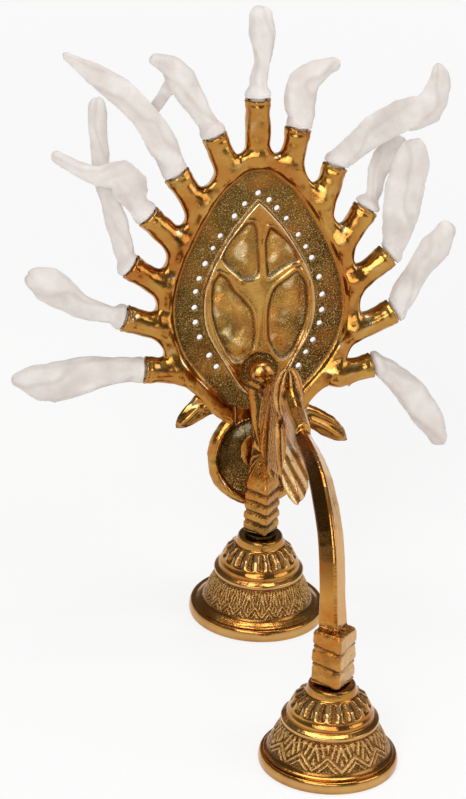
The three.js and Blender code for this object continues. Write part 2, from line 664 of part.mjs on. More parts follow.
// Points down one side of the oval at the hand-set steps, a little outside the ridge
function holesAlong(side, steps) {
  const half = OVAL_HALF.map(([x, w]) => new THREE.Vector3(x, w, 0));
  const curve = new THREE.CatmullRomCurve3(half, false, "centripetal");
  const length = curve.getLength();
  const holes = [];
  let run = 0;
  for (const step of steps) {
    run += step;
    const u = run / length;
    const p = curve.getPointAt(u);
    const t = curve.getTangentAt(u);
    holes.push([side * (p.x - t.y * HOLE_OFFSET), p.y + t.x * HOLE_OFFSET]);
  }
  return holes;
}

function plate() {
  const outline = mirrored(FAN_HALF, 48);
  const inner = offsetOutline(outline, RIM_BAND);
  const oval = mirrored(OVAL_HALF, 32);
  const { bowl, boss } = dish();
  const throat = [[-THROAT_HALF, 0], [THROAT_HALF, 0], [THROAT_HALF, PEG_W], [-THROAT_HALF, PEG_W]]
    .map(([x, w]) => new THREE.Vector2(x, w));
  const fan = cut(
    join(slab(outline, RIM_FRONT, RIM_BACK, RIM_BEVEL), bowl),
    slopedRecess(outline),
    slab(throat, RIM_FRONT - CUT, FLOOR_FRONT),
    slab(inner, FLOOR_BACK, RIM_BACK + CUT),
  );
  const veins = VEINS.map(({ width, points }) => {
    const curve = new THREE.CatmullRomCurve3(points.map(([x, w]) => new THREE.Vector3(x, w, 0)));
    const line = curve.getPoints(4).map((p) => new THREE.Vector2(p.x, p.y));
    return raisedLine(line, width, RIDGE_HEIGHT * 0.75, FLOOR_FRONT);
  });
  const body = join(
    fan,
    boss,
    ...LOBES.map(lobe),
    raisedLine(oval, RIDGE_WIDTH, RIDGE_HEIGHT, FLOOR_FRONT, true),
    ...veins,
    petal(-14, 19.5, -27.8, 11.3),
    petal(13, 14, 30, 2.8),
    ...SPOUTS.map(spoutBody),
  );
  const holes = [
    [0, OVAL_HALF[0][1] + HOLE_OFFSET],
    ...holesAlong(-1, LEFT_HOLE_STEPS),
    ...holesAlong(1, RIGHT_HOLE_STEPS),
  ];
  return cut(
    body,
    ...SPOUTS.map(spoutBore),
    ...holes.map(([x, w]) => plateCylinder(HOLE_RADIUS, -CUT, CUT, x, w, 8)),
    plateCylinder(TENON_RADIUS + GAP, -CUT, CUT, 0, PEG_W, 16),
    plateCylinder(SCREW_RADIUS + GAP, -CUT, CUT, 0, BOSS_W, 16),
  );
}

function upperPeg() {
  const dome = new THREE.LatheGeometry(
    [[0, 0], [0.45, 0.28], [0.78, 0.95], [0.95, 1.9], [1, 3]]
      .map(([share, back]) => new THREE.Vector2(share * PEG_RADIUS, back - PEG_REACH))
      .concat([new THREE.Vector2(PEG_RADIUS, FLOOR_FRONT - GAP), new THREE.Vector2(0, FLOOR_FRONT - GAP)]),
    24,
  ).translate(0, 0, PEG_W);
  return join(
    dome,
    plateCylinder(TENON_RADIUS, -PEG_REACH / 2, FLOOR_BACK + GAP + HEAD_THICKNESS / 2, 0, PEG_W, 16),
    plateCylinder(PEG_RADIUS - 0.6, FLOOR_BACK + GAP, FLOOR_BACK + GAP + HEAD_THICKNESS, 0, PEG_W, 24),
  );
}

const SCREW_WASHER_FROM = FLOOR_BACK + GAP;
const SCREW_HEAD_FROM = SCREW_WASHER_FROM + WASHER_THICKNESS + GAP;

function backWasher() {
  return cut(
    plateCylinder(WASHER_RADIUS, SCREW_WASHER_FROM, SCREW_WASHER_FROM + WASHER_THICKNESS, 0, BOSS_W, 24),
    plateCylinder(SCREW_RADIUS + GAP, -CUT, 2 * CUT, 0, BOSS_W, 16),
  );
}

function backScrew() {
  const headTo = SCREW_HEAD_FROM + SCREW_HEAD_HEIGHT;
  const screw = join(
    plateCylinder(SCREW_RADIUS, -SCREW_REACH, SCREW_HEAD_FROM + 0.5, 0, BOSS_W, 16),
    plateCylinder(SCREW_HEAD_RADIUS, SCREW_HEAD_FROM, headTo, 0, BOSS_W, 24),
  );
  const slot = new THREE.BoxGeometry(3 * SCREW_HEAD_RADIUS, 1.6, 0.9).translate(0, headTo, BOSS_W);
  return cut(screw, slot);
}

// A cotton wick: a round root in the bore, then flattened sections through its stations
function wick(spout, stations, thin) {
  const axis = spoutAxis(spout);
  const mouth = new THREE.Vector3(spout.x, 0, spout.w);
  const inside = BORE_DEPTH - GAP;
  const path = [axis.clone().multiplyScalar(1.6), ...stations.map(([x, w, n]) => new THREE.Vector3(x, n, w))];
  const neck = Math.max(WICK_ROOT_RADIUS, Math.min(stations[0][3] - 0.4, MOUTH_RADIUS));
  const halves = [neck, ...stations.map((s) => s[3])];
  const curve = new THREE.CatmullRomCurve3(path, false, "centripetal");
  const rings = alongSpout(spout, [
    [-inside, WICK_ROOT_RADIUS, WICK_ROOT_RADIUS],
    [0.35, WICK_ROOT_RADIUS, WICK_ROOT_RADIUS],
    [0.9, neck, Math.min(neck, 1.1 * WICK_ROOT_RADIUS)],
  ], WICK_SIDES);
  const steps = stations.length * 2;
  for (let i = 1; i <= steps; i++) {
    const u = i / steps;
    const at = u * stations.length;
    const k = Math.min(Math.floor(at), stations.length - 1);
    const share = at - k;
    const blend = k ? share * share * (3 - 2 * share) : share ** 2;
    const half = THREE.MathUtils.lerp(halves[k], halves[k + 1], blend);
    const limit = THREE.MathUtils.lerp(WICK_ROOT_RADIUS, thin ? THIN_HALF : PLUMP_HALF, Math.min(at, 1));
    const deep = Math.min(half * WICK_ROUNDNESS + (1 - Math.min(at, 1)) * 0.9, limit);
    rings.push(wickRing(curve, u, half, deep, mouth, axis));
  }
  rings.push(shrunk(rings[rings.length - 1], 0.55, curve.getTangent(1), halves[halves.length - 1] * 0.45));
  return loft(rings);
}

function wickRing(curve, u, half, deep, mouth) {
  const tangent = curve.getTangent(u);
  const flat = new THREE.Vector3(tangent.x, 0, tangent.z).normalize();
  const across = new THREE.Vector3(flat.z, 0, -flat.x);
  const centre = curve.getPoint(u).add(mouth);
  return ring(centre, across, new THREE.Vector3(0, 1, 0), ellipse(half, deep, WICK_SIDES));
}

function shrunk(points, share, direction, distance) {
  const centre = centreOf(points);
  return points.map((p) => p.clone().lerp(centre, 1 - share).addScaledVector(direction, distance));
}

function foldedTail(spout) {
  const mouth = new THREE.Vector3(spout.x, 0, spout.w);
  const curve = new THREE.CatmullRomCurve3(
    FOLDED_TAIL.map(([x, w, n]) => new THREE.Vector3(x, n, w)), false, "centripetal",
  );
  const steps = 6;
  const rings = [];
  for (let i = 0; i <= steps; i++) {
    const at = (i / steps) * (FOLDED_TAIL.length - 1);
    const k = Math.min(Math.floor(at), FOLDED_TAIL.length - 2);
    const half = THREE.MathUtils.lerp(FOLDED_TAIL[k][3], FOLDED_TAIL[k + 1][3], at - k);
    rings.push(wickRing(curve, i / steps, half, TAIL_HALF_THICKNESS, mouth));
  }
  return loft(rings);
}

function add(group, name, geometry, finish, y = 0) {
  const mesh = new THREE.Mesh(geometry, new THREE.MeshStandardMaterial(finish));
  mesh.name = name;
  mesh.position.y = y;
  group.add(mesh);
}

const fan = new THREE.Group();
fan.position.set(
  0, PLATE_FOOT_Y + DISH_RISE * Math.sin(PLATE_LEAN), DISH_RISE * Math.cos(PLATE_LEAN),
);
fan.rotation.x = -PLATE_LEAN;
fan.updateMatrix();

const stand = new THREE.Group();
add(stand, "handle", handle(fan.matrix), POLISHED_BRASS);
for (const [name, waist, y, neckBottom, bite] of [
  ["rear", REAR_WAIST, 0, REAR_NECK_BOTTOM, STUD_BITE_REAR],
  ["front", FRONT_WAIST, -FOOT_SPAN, FRONT_NECK_BOTTOM, STUD_BITE_FRONT],
]) {
  add(stand, name + "_foot", foot(waist), BRASS, y);
  add(stand, name + "_foot_stud", cylinder(STUD_RADIUS, STUD_FROM, neckBottom + bite), STEEL, y);
  add(stand, name + "_foot_washer", washer(WASHER_FROM), STEEL, y);
  add(stand, name + "_foot_nut", nut(), STEEL, y);
}
add(stand, "rear_neck_spacer", washer(SPACER_FROM), BRASS);

add(fan, "fan_plate", plate(), BRASS);
add(fan, "upper_peg", upperPeg(), POLISHED_BRASS);
add(fan, "dish_washer", backWasher(), BRASS);
add(fan, "dish_screw", backScrew(), BRASS);
SPOUTS.forEach((spout, i) => {
  const body = wick(spout, WICKS[i], THIN_WICKS.includes(i));
  const whole = i === FOLDED_WICK ? join(body, foldedTail(spout)) : body;
  add(fan, "wick_" + String(i + 1).padStart(2, "0"), whole, COTTON);
});

// The lamp stands with the middle of its box over the origin
const lamp = new THREE.Group();
lamp.add(stand, fan);
lamp.updateMatrixWorld(true);
const box = new THREE.Box3().setFromObject(lamp, true);
lamp.position.set(-(box.min.x + box.max.x) / 2, -(box.min.y + box.max.y) / 2, 0);

export default lamp;
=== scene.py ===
import math
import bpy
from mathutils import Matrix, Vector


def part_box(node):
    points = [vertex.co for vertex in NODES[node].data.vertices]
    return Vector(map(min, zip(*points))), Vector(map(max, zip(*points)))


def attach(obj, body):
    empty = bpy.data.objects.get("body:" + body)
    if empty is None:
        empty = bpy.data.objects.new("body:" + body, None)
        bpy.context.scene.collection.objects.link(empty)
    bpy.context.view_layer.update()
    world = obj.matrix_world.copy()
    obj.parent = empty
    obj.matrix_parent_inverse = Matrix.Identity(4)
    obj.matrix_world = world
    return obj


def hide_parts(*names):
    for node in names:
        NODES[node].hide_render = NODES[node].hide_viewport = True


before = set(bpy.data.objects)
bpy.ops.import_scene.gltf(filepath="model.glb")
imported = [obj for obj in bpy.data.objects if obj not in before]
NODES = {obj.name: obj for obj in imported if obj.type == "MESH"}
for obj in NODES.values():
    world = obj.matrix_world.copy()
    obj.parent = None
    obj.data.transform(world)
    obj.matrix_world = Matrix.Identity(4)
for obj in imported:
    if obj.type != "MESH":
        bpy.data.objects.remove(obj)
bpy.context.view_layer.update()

from types import SimpleNamespace

import bpy
import numpy as np
from mathutils import Matrix, Vector, noise

# Lengths are metres in Blender and millimetres in the lamp's own frame, whose origin is on the
# table under the rear foot. The plate has a leaning frame of its own: x across, n through it
# (its front is -n) and w up along it.
MM = 0.001

# Camera, in the lamp's frame
CAMERA_FOCAL_PX = 8177
CAMERA_DISTANCE = 2669
CAMERA_PITCH = math.radians(27.5)
CAMERA_YAW = math.radians(14.4)
CAMERA_ROLL = math.radians(2.96)
CAMERA_TARGET = (-11.3, 77.7)
IMAGE_HEIGHT = 799
SENSOR = 36.0

# Fan plate: its lean, and the right halves of its outline and of the raised oval's, from the top down
PLATE_LEAN = math.radians(12.25)
PLATE_FOOT_Y = -3.85
PLATE_FLOOR = -0.7
FAN_HALF = [
    (0, 157.3), (5.8, 156.4), (12.6, 151.6), (18.5, 145.4), (26.4, 132), (32.1, 118.4),
    (34.1, 104), (31, 90.5), (25, 81), (18.6, 74), (13.5, 68.5), (7, 66), (0, 65.4),
]
OVAL_HALF = [
    (0, 140.8), (4.4, 136), (8.6, 130.8), (12.4, 124.8), (15.6, 118.8), (17.8, 112.6),
    (18.5, 106.4), (17.8, 100), (15.6, 94.4), (12.4, 89), (9.2, 83.4), (5.2, 78), (0, 75),
]
# The four hollow leaves of the relief
LEAVES = [
    [(3.4, 132.4), (7.1, 130.3), (11.3, 125.8), (13.4, 120.9), (10.5, 119.4), (6.6, 117.2),
     (3.2, 115.2), (2.2, 118.4), (1.7, 127.4)],
    [(-4.6, 134.2), (-0.8, 133.4), (0.1, 125.7), (0.1, 116.6), (-4.9, 114.9), (-8, 117),
     (-12.6, 122.6), (-9.9, 129)],
    [(-13.8, 118), (-10.3, 116.2), (-8, 111.9), (-4.6, 108.2), (-1.7, 103.4), (-1.3, 94.8),
     (-3.6, 88.9), (-8.6, 87.6), (-13.4, 95), (-15.7, 102), (-16.3, 107.4), (-15.7, 115.1)],
    [(13.2, 117.5), (8.6, 114.8), (5.1, 111.9), (3.2, 107.7), (2.4, 102.4), (2.7, 94.6),
     (6.2, 88), (10.4, 89), (13.6, 94.8), (16, 101), (16.6, 107.2), (15.9, 113.9)],
]
# Middle lines of the two petals under the lowest spouts
PETALS = [
    [(-14.6, 72), (-20.3, 72.7), (-26.4, 67.7)],
    [(17.1, 66.1), (22.5, 63.4), (28.3, 59.2)],
]
# Heights of the relief, and the width of a leaf's wall
FRAME_RISE = 0.8
CREST_RISE = 0.85
WALL_WIDTH = 1.1
LEAF_SWELL = 0.5
PETAL_RIDGE = 0.55
PETAL_HOLLOW = 0.35
# The peg, the dish and the step from the frame down to the dish, in x and w
PEG_W = 84.3
DISH_CENTRE = (-0.3, 55)
DISH_RADIUS = 13.2
FRAME_STEP = (8.2, 70.2)
# The rim's rounded edge, half its thickness less that, and how far the spouts' roots flow
RIM_ROUND = 1.2
RIM_FLAT = 1.4
ROOT_BLEND = 3.4
# Spouts from the lower left round to the lower right: mouth x and w, and turn from upright
SPOUT_MOUTHS = [
    (-38.5, 86.5, -84), (-45, 104.6, -71), (-42.8, 121.9, -54), (-36.9, 138.4, -44),
    (-27.2, 151.8, -31), (-14.6, 163.8, -21), (0, 175.4, 0), (13.6, 164.7, 11),
    (26.1, 151.5, 20), (36.1, 136.5, 32), (43.7, 120.3, 52), (45.3, 101.2, 65), (38.4, 83.2, 77),
]
SPOUT_LENGTHS = [13, 15, 15, 15, 14, 14, 21, 15, 14, 15, 15, 15, 13]
# A spout's outside, how much wider its mouth is, and the edge and end of its bore
SPOUT_RADIUS = 4.15
MOUTH_FLARE = 0.5
BORE_EDGE = 3.42
BORE_END = 9.35

# Feet: the same turned bell with its own waist
FOOT_SPAN = 100
FLANGE_RADIUS = 22.5
BAND_BOTTOM = 5.3
BAND_TOP = 14.7
SHOULDER_BOTTOM = 20.2
SHOULDER_TOP = 25.8
COLLAR_TOP = 28.6
FOOT_CEILING = 21.5
STUD_CLEARANCE = 2.5
RIM_WIDTH = 2.6
FOOT_WALL = 2.2
FLUTES = 18
FLUTE_DEPTH = 1.15
REAR_WAIST = {"band_foot": 17.6, "band_top": 14.0, "ring": 14.8, "upper": 13.2, "collar": 7.9}
FRONT_WAIST = {"band_foot": 19.4, "band_top": 14.8, "ring": 15.8, "upper": 14.0, "collar": 8.2}

# Handle: the leaning post, the ribs of the rear and front necks, the bulbs' middle line as y and
# height over the post, and the axis that their flutes run round as z and y
POST_TOP = 84.5
POST_LEAN = -0.11
NECK_FROM = (30.2, 28.9)
RIB_PITCH = (3.7, 6.37)
RIB_CUT = 0.55
CREST = [(-24.5, 17.9), (-24.6, 13.5), (-25, 8.5), (-27.6, 2.7), (-31, -3), (-33.4, -13), (-34, -18)]
FLUTE_AXIS = [(66, -33.4), (81, -31), (87, -27.6), (93, -25), (103, -24.5)]
# Depths of the carving
POST_STROKE = 0.38
BULB_STROKE = 0.45
LEAF_STROKE = 0.18
WEB_STROKE = 0.38
CREST_WAIST = 0.9

# Wicks: where each one goes from its mouth, in x, n and w
WICK_COUNT = len(SPOUT_MOUTHS)
WICK_PATHS = [
    [(-10, 0, 0.4), (-21, 0, -0.6), (-30, 0, -2.2), (-43, 0, -0.6)],
    [(-7.3, 0, 2.2), (-14.6, 0, 5.1), (-21, 0, 9.7), (-31, 0, 16)],
    [(-2.4, 0.8, 6.9), (-4, 2.4, 14.3), (-6, 3.6, 21.7), (-9, 3.6, 39), (-9.6, 3.6, 54.4)],
    [(-4.3, -1.6, 5), (-6.6, -3.6, 10.6), (-10.8, -4.4, 15.6), (-18, -4.8, 15.8), (-32, -4.8, 23.4)],
    [(-2.6, 0, 5.8), (-6, -1, 12.8), (-11.6, -2, 21.2), (-19.1, -2.6, 29), (-37.4, -3, 42.4)],
    [(-4, 0, 7.4), (-7.6, 0.4, 13.6), (-11, 0.8, 19.4), (-20, 1, 26.6)],
    [(0.4, 0, 7), (1.5, 0, 11.7), (2, 0, 17), (1.2, 0, 28.6)],
    [(0.9, 0, 4.4), (0.5, 0, 10.2), (1.8, 0, 15.4), (12.6, 0, 21)],
    [(4.6, -1.6, 5.2), (11.6, -4.8, 11.6), (20, -8, 17.2), (28.6, -9.4, 19.6), (31.8, -9.4, 33.6)],
    [(3.3, 1.6, 4.6), (4.8, 3, 10.4), (8, 3, 16.4), (12.2, 3, 21.2)],
    [(2.4, -1.6, 6.2), (2.6, -4.4, 14), (4, -4.8, 22.8), (7.6, -4.8, 38.4)],
    [(4, 0.3, 5.8), (9.2, 0.8, 13.4), (14.8, 1, 20.4), (18.8, 1, 26.8)],
    [(5.4, 0, -2.2), (10.8, 0, -7.6), (15.6, 0, -13.6), (23, 0, -27.4)],
]
# A wick's radius where it swells over its mouth
NECK_RADIUS = 4.3
# How far the wicks that would cross stand aside, along n
ASIDE = {3: 0.9, 4: -0.9, 10: 0.9, 11: -0.9}

# Noise in the materials, as cells to the metre
DRIFT_SCALE = 80
SPECK_SCALE = 2600
SAND_SCALE = 1400
WOBBLE_SCALE = 190
FOLD_SCALE = 120
FIBRE_SCALE = 900
# Colours of painted shade, which the stains on the fan's rim share,
# and of cotton, whose crease colour is painted shade
SHADE_AND_STAIN = "1E140A"
COTTON_DULL = "DFD5CE"
COTTON_FRESH = "F0EAE4"
COTTON_CREASE_SHADE = "BCABA1"

# Fineness of the meshes: size of a cell in millimetres, and how many sides a foot has
FAN_VOXEL = 0.42
HANDLE_VOXEL = 0.33
PEG_VOXEL = 0.25
WICK_VOXEL = 0.5
FOOT_SIDES = 432

# Studio, in metres: sky brightness by the height of its direction, lights with place, width,
# height and power, and the floor, which is less than white near the lamp and white far off
SKY = [(0.0, 0.95), (0.07, 0.8), (0.18, 0.24), (0.5, 0.13), (0.8, 0.2), (1.0, 0.5)]
LIGHTS = [
    ("key", (-0.55, -0.75, 0.95), 0.62, 0.62, 4.8),
    ("fill", (0.85, -0.5, 0.7), 0.65, 0.8, 3.2),
    ("top", (0.05, 0.3, 1.15), 0.7, 0.4, 4.4),
    ("front", (-0.42, -1.2, 0.66), 1.1, 0.5, 4.8),
]
LIGHT_AIM = Vector((0, 0, 0.09))
FLOOR_WHITE = 0.75
FLOOR_NEAR = 0.3
FLOOR_FAR = 0.9
FLOOR_HALF = 6.0
FLOOR_DROP = 0.0002


def foot_axis(node):
    low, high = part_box(node)
    return Vector(((low[0] + high[0]) / 2, (low[1] + high[1]) / 2, 0))


LAMP = foot_axis("rear_foot")


# Numbers and meshes


def smoothstep(low, high, value):
    share = np.clip((value - low) / (high - low), 0, 1)
    return share * share * (3 - 2 * share)


def wave(points, scale, seed=0.0, octaves=1):
    """Smooth noise from -1 to 1 at points in millimetres, scale being its wavelength."""
    shift = Vector((seed, seed * 1.7, seed * 0.3))
    out = np.zeros(len(points))
    for octave in range(octaves):
        size = scale / 2**octave
        out += np.array([noise.noise(Vector(p) / size + shift) for p in points]) / 2**octave
    return out


def distance_to(points, line):
    """Distance in the plane from each point to a polyline."""
    best = np.full(len(points), 1e9)
    for a, b in zip(line[:-1], line[1:]):
        a, b = np.array(a, float), np.array(b, float)
        along = b - a
        share = np.clip(((points - a) @ along) / (along @ along), 0, 1)
        gap = points - a - share[:, None] * along
        best = np.minimum(best, np.hypot(gap[:, 0], gap[:, 1]))
    return best


def within(points, line):
    """Whether each point lies inside the closed line."""
    count = np.zeros(len(points), int)
    for a, b in zip(line, line[1:] + line[:1]):
        across = (a[1] > points[:, 1]) != (b[1] > points[:, 1])
        with np.errstate(divide="ignore", invalid="ignore"):
            at = a[0] + (points[:, 1] - a[1]) * (b[0] - a[0]) / (b[1] - a[1])
        count += across & (points[:, 0] < at)
    return count % 2 == 1


def depth_in(points, line):
    """Distance to a closed line, counted negative outside it."""
    gap = distance_to(points, [*line, line[0]])
    return np.where(within(points, line), gap, -gap)


def closed_curve(points, steps=5):
    ring = curve_through([*points[-2:], *points, *points[:2]], steps)
    return [tuple(p) for p in ring[2 * steps : -2 * steps]]


def curve_through(points, steps=6):
    """A Catmull-Rom line through the points of a list."""
    pts = np.array([points[0], *points, points[-1]], float)
    out = []
    for k in range(1, len(pts) - 2):
        p0, p1, p2, p3 = pts[k - 1 : k + 3]
        for i in range(steps):
            t = i / steps
            out.append(
                0.5 * (2 * p1 + (p2 - p0) * t + (2 * p0 - 5 * p1 + 4 * p2 - p3) * t**2
                       + (3 * p1 - p0 - 3 * p2 + p3) * t**3)
            )
    out.append(pts[-2])
    return out


def swell(distance, width):
    """A bump that is 1 where the distance is nought and fades over the width."""
    return np.exp(-((distance / width) ** 2))


def dress(mesh, material):
    mesh.materials.clear()
    mesh.materials.append(material)
    mesh.polygons.foreach_set("use_smooth", np.ones(len(mesh.polygons), bool))
    mesh.update()


def new_object(name, mesh, material):
    obj = bpy.data.objects.new(name, mesh)
    bpy.context.scene.collection.objects.link(obj)
    dress(mesh, material)
    return obj


def lamp_points(mesh):
    """The mesh's vertices in the lamp's frame, in millimetres, and their normals."""
    co = np.empty(len(mesh.vertices) * 3)
    mesh.vertices.foreach_get("co", co)
    normals = np.empty(len(mesh.vertices) * 3)
    mesh.vertices.foreach_get("normal", normals)
    return (co.reshape(-1, 3) - np.array(LAMP)) / MM, normals.reshape(-1, 3)


def move_to(mesh, points):
    mesh.vertices.foreach_set("co", (points * MM + np.array(LAMP)).ravel())
    mesh.update()


def paint(mesh, name, values):
    """Stores one number for each vertex, for the material to read."""
    layer = mesh.attributes.new(name, "FLOAT", "POINT")
    layer.data.foreach_set("value", np.clip(values, 0, 1).astype(np.float32))


# Layers that the brass reads at each vertex: the pale one is painted highlight, and the near-black one
# is painted shade together with the stains on the fan's rim
def coat(mesh, polish, warmth=0.25, painted_highlight=0.0, sand=0.05, shade_and_stains=0.0):
    layers = {"polish": polish, "warmth": warmth, "painted_highlight": painted_highlight, "sand": sand, "shade_and_stains": shade_and_stains}
    for name, values in layers.items():
        paint(mesh, name, np.broadcast_to(np.asarray(values, float).ravel(), len(mesh.vertices)))


def smoothed(obj, rounds, group=""):
    """The object's mesh after its modifiers and some rounds of smoothing, which it then keeps."""
    smooth = obj.modifiers.new("soften", "SMOOTH")
    smooth.factor = 0.5
    smooth.iterations = rounds
    smooth.vertex_group = group
    graph = bpy.context.evaluated_depsgraph_get()
    mesh = bpy.data.meshes.new_from_object(obj.evaluated_get(graph))
    obj.modifiers.clear()
    obj.data = mesh
    return mesh


def soften(obj, weights, rounds):
    """Smooths the mesh where the weights are over nought, as the blend of a casting."""
    group = obj.vertex_groups.new(name="soften")
    steps = np.round(np.clip(weights, 0, 1) * 8).astype(int)
    for step in range(1, 9):
        group.add(np.flatnonzero(steps == step).tolist(), step / 8, "REPLACE")
    return smoothed(obj, rounds, group.name)


def recast(node, name, voxel, rounds, material):
    """A finely meshed copy of a CAD node with its edges softened, as a casting's are."""
    obj = new_object(name, NODES[node].data.copy(), material)
    remesh = obj.modifiers.new("remesh", "REMESH")
    remesh.mode = "VOXEL"
    remesh.voxel_size = voxel * MM
    mesh = smoothed(obj, rounds)
    mesh.name = name
    dress(mesh, material)
    return obj


# Materials


def linear(hex_color):
    parts = [int(hex_color[i : i + 2], 16) / 255 for i in (0, 2, 4)]
    return [c / 12.92 if c <= 0.04045 else ((c + 0.055) / 1.055) ** 2.4 for c in parts] + [1]


class Shader:
    """A node tree under construction, with its Principled shader."""

    def __init__(self, name):
        self.material = bpy.data.materials.new(name)
        self.material.use_nodes = True
        self.nodes = self.material.node_tree.nodes
        self.links = self.material.node_tree.links
        self.bsdf = self.nodes["Principled BSDF"]
        self.place = self.nodes.new("ShaderNodeTexCoord").outputs["Object"]

    def set(self, **values):
        for key, value in values.items():
            self.bsdf.inputs[key.replace("_", " ")].default_value = value
        return self

    def link(self, source, target):
        self.links.new(source, target)

    def noise(self, scale, detail=3.0, roughness=0.5):
        node = self.nodes.new("ShaderNodeTexNoise")
        node.inputs["Scale"].default_value = scale
        node.inputs["Detail"].default_value = detail
        node.inputs["Roughness"].default_value = roughness
        self.link(self.place, node.inputs["Vector"])
        return node.outputs["Fac"]

    def attribute(self, name):
        node = self.nodes.new("ShaderNodeAttribute")
        node.attribute_name = name
        return node.outputs["Fac"]

    def ramp(self, source, *stops):
        node = self.nodes.new("ShaderNodeValToRGB")
        ramp = node.color_ramp
        while len(ramp.elements) < len(stops):
            ramp.elements.new(0.5)
        for element, (position, color) in zip(ramp.elements, stops):
            element.position = position
            element.color = linear(color) if isinstance(color, str) else (color, color, color, 1)
        self.link(source, node.inputs["Fac"])
        return node.outputs["Color"]

    def math(self, operation, a, b):
        node = self.nodes.new("ShaderNodeMath")
        node.operation = operation
        for socket, value in zip(node.inputs, (a, b)):
            if isinstance(value, (int, float)):
                socket.default_value = value
            else:
                self.link(value, socket)
        return node.outputs["Value"]

    def mix(self, share, a, b):
        node = self.nodes.new("ShaderNodeMix")
        node.data_type = "RGBA"
        for key, value in (("Factor", share), ("A", a), ("B", b)):
            socket = next(s for s in node.inputs if s.name == key and s.enabled)
            if isinstance(value, str):
                socket.default_value = linear(value)
            elif isinstance(value, (int, float)):
                socket.default_value = value
            else:
                self.link(value, socket)
        return next(s for s in node.outputs if s.enabled)

    def bump(self, height, distance, strength=1.0, normal=None):
        node = self.nodes.new("ShaderNodeBump")
        node.inputs["Distance"].default_value = distance
        node.inputs["Strength"].default_value = strength
        self.link(height, node.inputs["Height"])
        if normal:
            self.link(normal, node.inputs["Normal"])
        return node.outputs["Normal"]


def brass(name, gold, warm, dark, pale, grain, smooth_roughness, rough_roughness):
    """Brass that is polished where the mesh's polish is 1 and dark where it is 0, reddish where its
    warmth is 1, pale as a painted highlight where its highlight layer is 1, sand-cast where its
    sand is 1 and near black where its layer of painted shade and stains is 1."""
    s = Shader(name).set(Metallic=1.0)
    polish = s.attribute("polish")
    drift = s.noise(DRIFT_SCALE, 5, 0.6)
    speck = s.noise(SPECK_SCALE, 2)
    metal = s.mix(s.ramp(drift, (0.38, 0.0), (0.66, 1.0)), gold, warm)
    sanded = s.math("ADD", s.attribute("sand"), 0.1)
    sunk = s.mix(s.math("MULTIPLY", s.ramp(speck, (0.42, 0.0), (0.7, 0.9)), sanded), dark, gold)
    sunk = s.mix(s.math("MULTIPLY", s.ramp(speck, (0.57, 0.0), (0.7, 0.75)), sanded), sunk, pale)
    share = s.ramp(s.math("ADD", polish, s.math("MULTIPLY", s.math("SUBTRACT", drift, 0.5), 0.7)),
                   (0.1, 0.0), (0.85, 1.0))
    tinted = s.mix(s.math("MULTIPLY", s.attribute("warmth"), 0.75), s.mix(share, sunk, metal), warm)
    # Painted highlights: pale where the highlight layer is 1
    lit = s.mix(s.attribute("painted_highlight"), tinted, pale)
    # A near-black painted shade for hollows and grooves, also used for the stains on the fan's rim
    shade_and_stain_tone = s.mix(s.ramp(speck, (0.45, 0.0), (0.75, 0.5)), SHADE_AND_STAIN, dark)
    s.link(s.mix(s.attribute("shade_and_stains"), lit, shade_and_stain_tone), s.bsdf.inputs["Base Color"])
    s.link(s.mix(share, *[s.ramp(speck, (0.3, v - 0.05), (0.7, v + 0.06))
                          for v in (rough_roughness, smooth_roughness)]),
           s.bsdf.inputs["Roughness"])
    sand = s.math("MULTIPLY", s.noise(SAND_SCALE, 3, 0.65), s.math("ADD", s.attribute("sand"), 0.02))
    wobble = s.noise(WOBBLE_SCALE, 2)
    s.link(s.bump(sand, grain, 1.0, s.bump(wobble, 0.0007, 0.4)), s.bsdf.inputs["Normal"])
    return s.material


def cotton():
    s = Shader("cotton").set(Metallic=0.0, Roughness=0.95)
    s.bsdf.inputs["Sheen Weight"].default_value = 0.25
    s.bsdf.inputs["Sheen Roughness"].default_value = 0.6
    folds = s.noise(FOLD_SCALE, 3)
    fibre = s.noise(FIBRE_SCALE, 4, 0.7)
    tint = s.mix(s.ramp(folds, (0.35, 0.0), (0.7, 1.0)), COTTON_DULL, COTTON_FRESH)
    # Painted shade in the wick's creases and hollows, from the crease layer
    depth = s.attribute("crease")
    s.link(s.mix(depth, tint, COTTON_CREASE_SHADE), s.bsdf.inputs["Base Color"])
    s.link(s.bump(fibre, 0.0006, 0.55, s.bump(folds, 0.002, 0.25)), s.bsdf.inputs["Normal"])
    return s.material


def steel():
    s = Shader("plain_steel").set(Metallic=1.0)
    fine = s.noise(900, 3)
    s.link(s.mix(fine, "7D7B77", "9A9894"), s.bsdf.inputs["Base Color"])
    s.link(s.ramp(fine, (0.3, 0.3), (0.7, 0.42)), s.bsdf.inputs["Roughness"])
    s.link(s.bump(fine, 0.0001, 0.3), s.bsdf.inputs["Normal"])
    return s.material


CAST = brass(
    "cast_brass", gold="C0944A", warm="AE6C2E", dark="543F18", pale="F6E2B0",
    grain=0.0011, smooth_roughness=0.14, rough_roughness=0.25,
)
TURNED = brass(
    "turned_brass", gold="C59146", warm="A86C32", dark="43321A", pale="EBCB90",
    grain=0.0008, smooth_roughness=0.11, rough_roughness=0.28,
)
BAR = brass(
    "polished_bar_brass", gold="C6944C", warm="B46A22", dark="442C12", pale="F0D2A4",
    grain=0.0008, smooth_roughness=0.12, rough_roughness=0.24,
)
COTTON = cotton()
STEEL = steel()


# Fan plate


LEAN_COS, LEAN_SIN = math.cos(PLATE_LEAN), math.sin(PLATE_LEAN)
THROUGH = np.array([0, LEAN_COS, -LEAN_SIN])
UPWARD = np.array([0, LEAN_SIN, LEAN_COS])


def to_plate(points):
    """Lamp-frame points as x, n, w of the leaning plate."""
    y, z = points[:, 1] - PLATE_FOOT_Y, points[:, 2]
    return np.column_stack([points[:, 0], y * LEAN_COS - z * LEAN_SIN, y * LEAN_SIN + z * LEAN_COS])


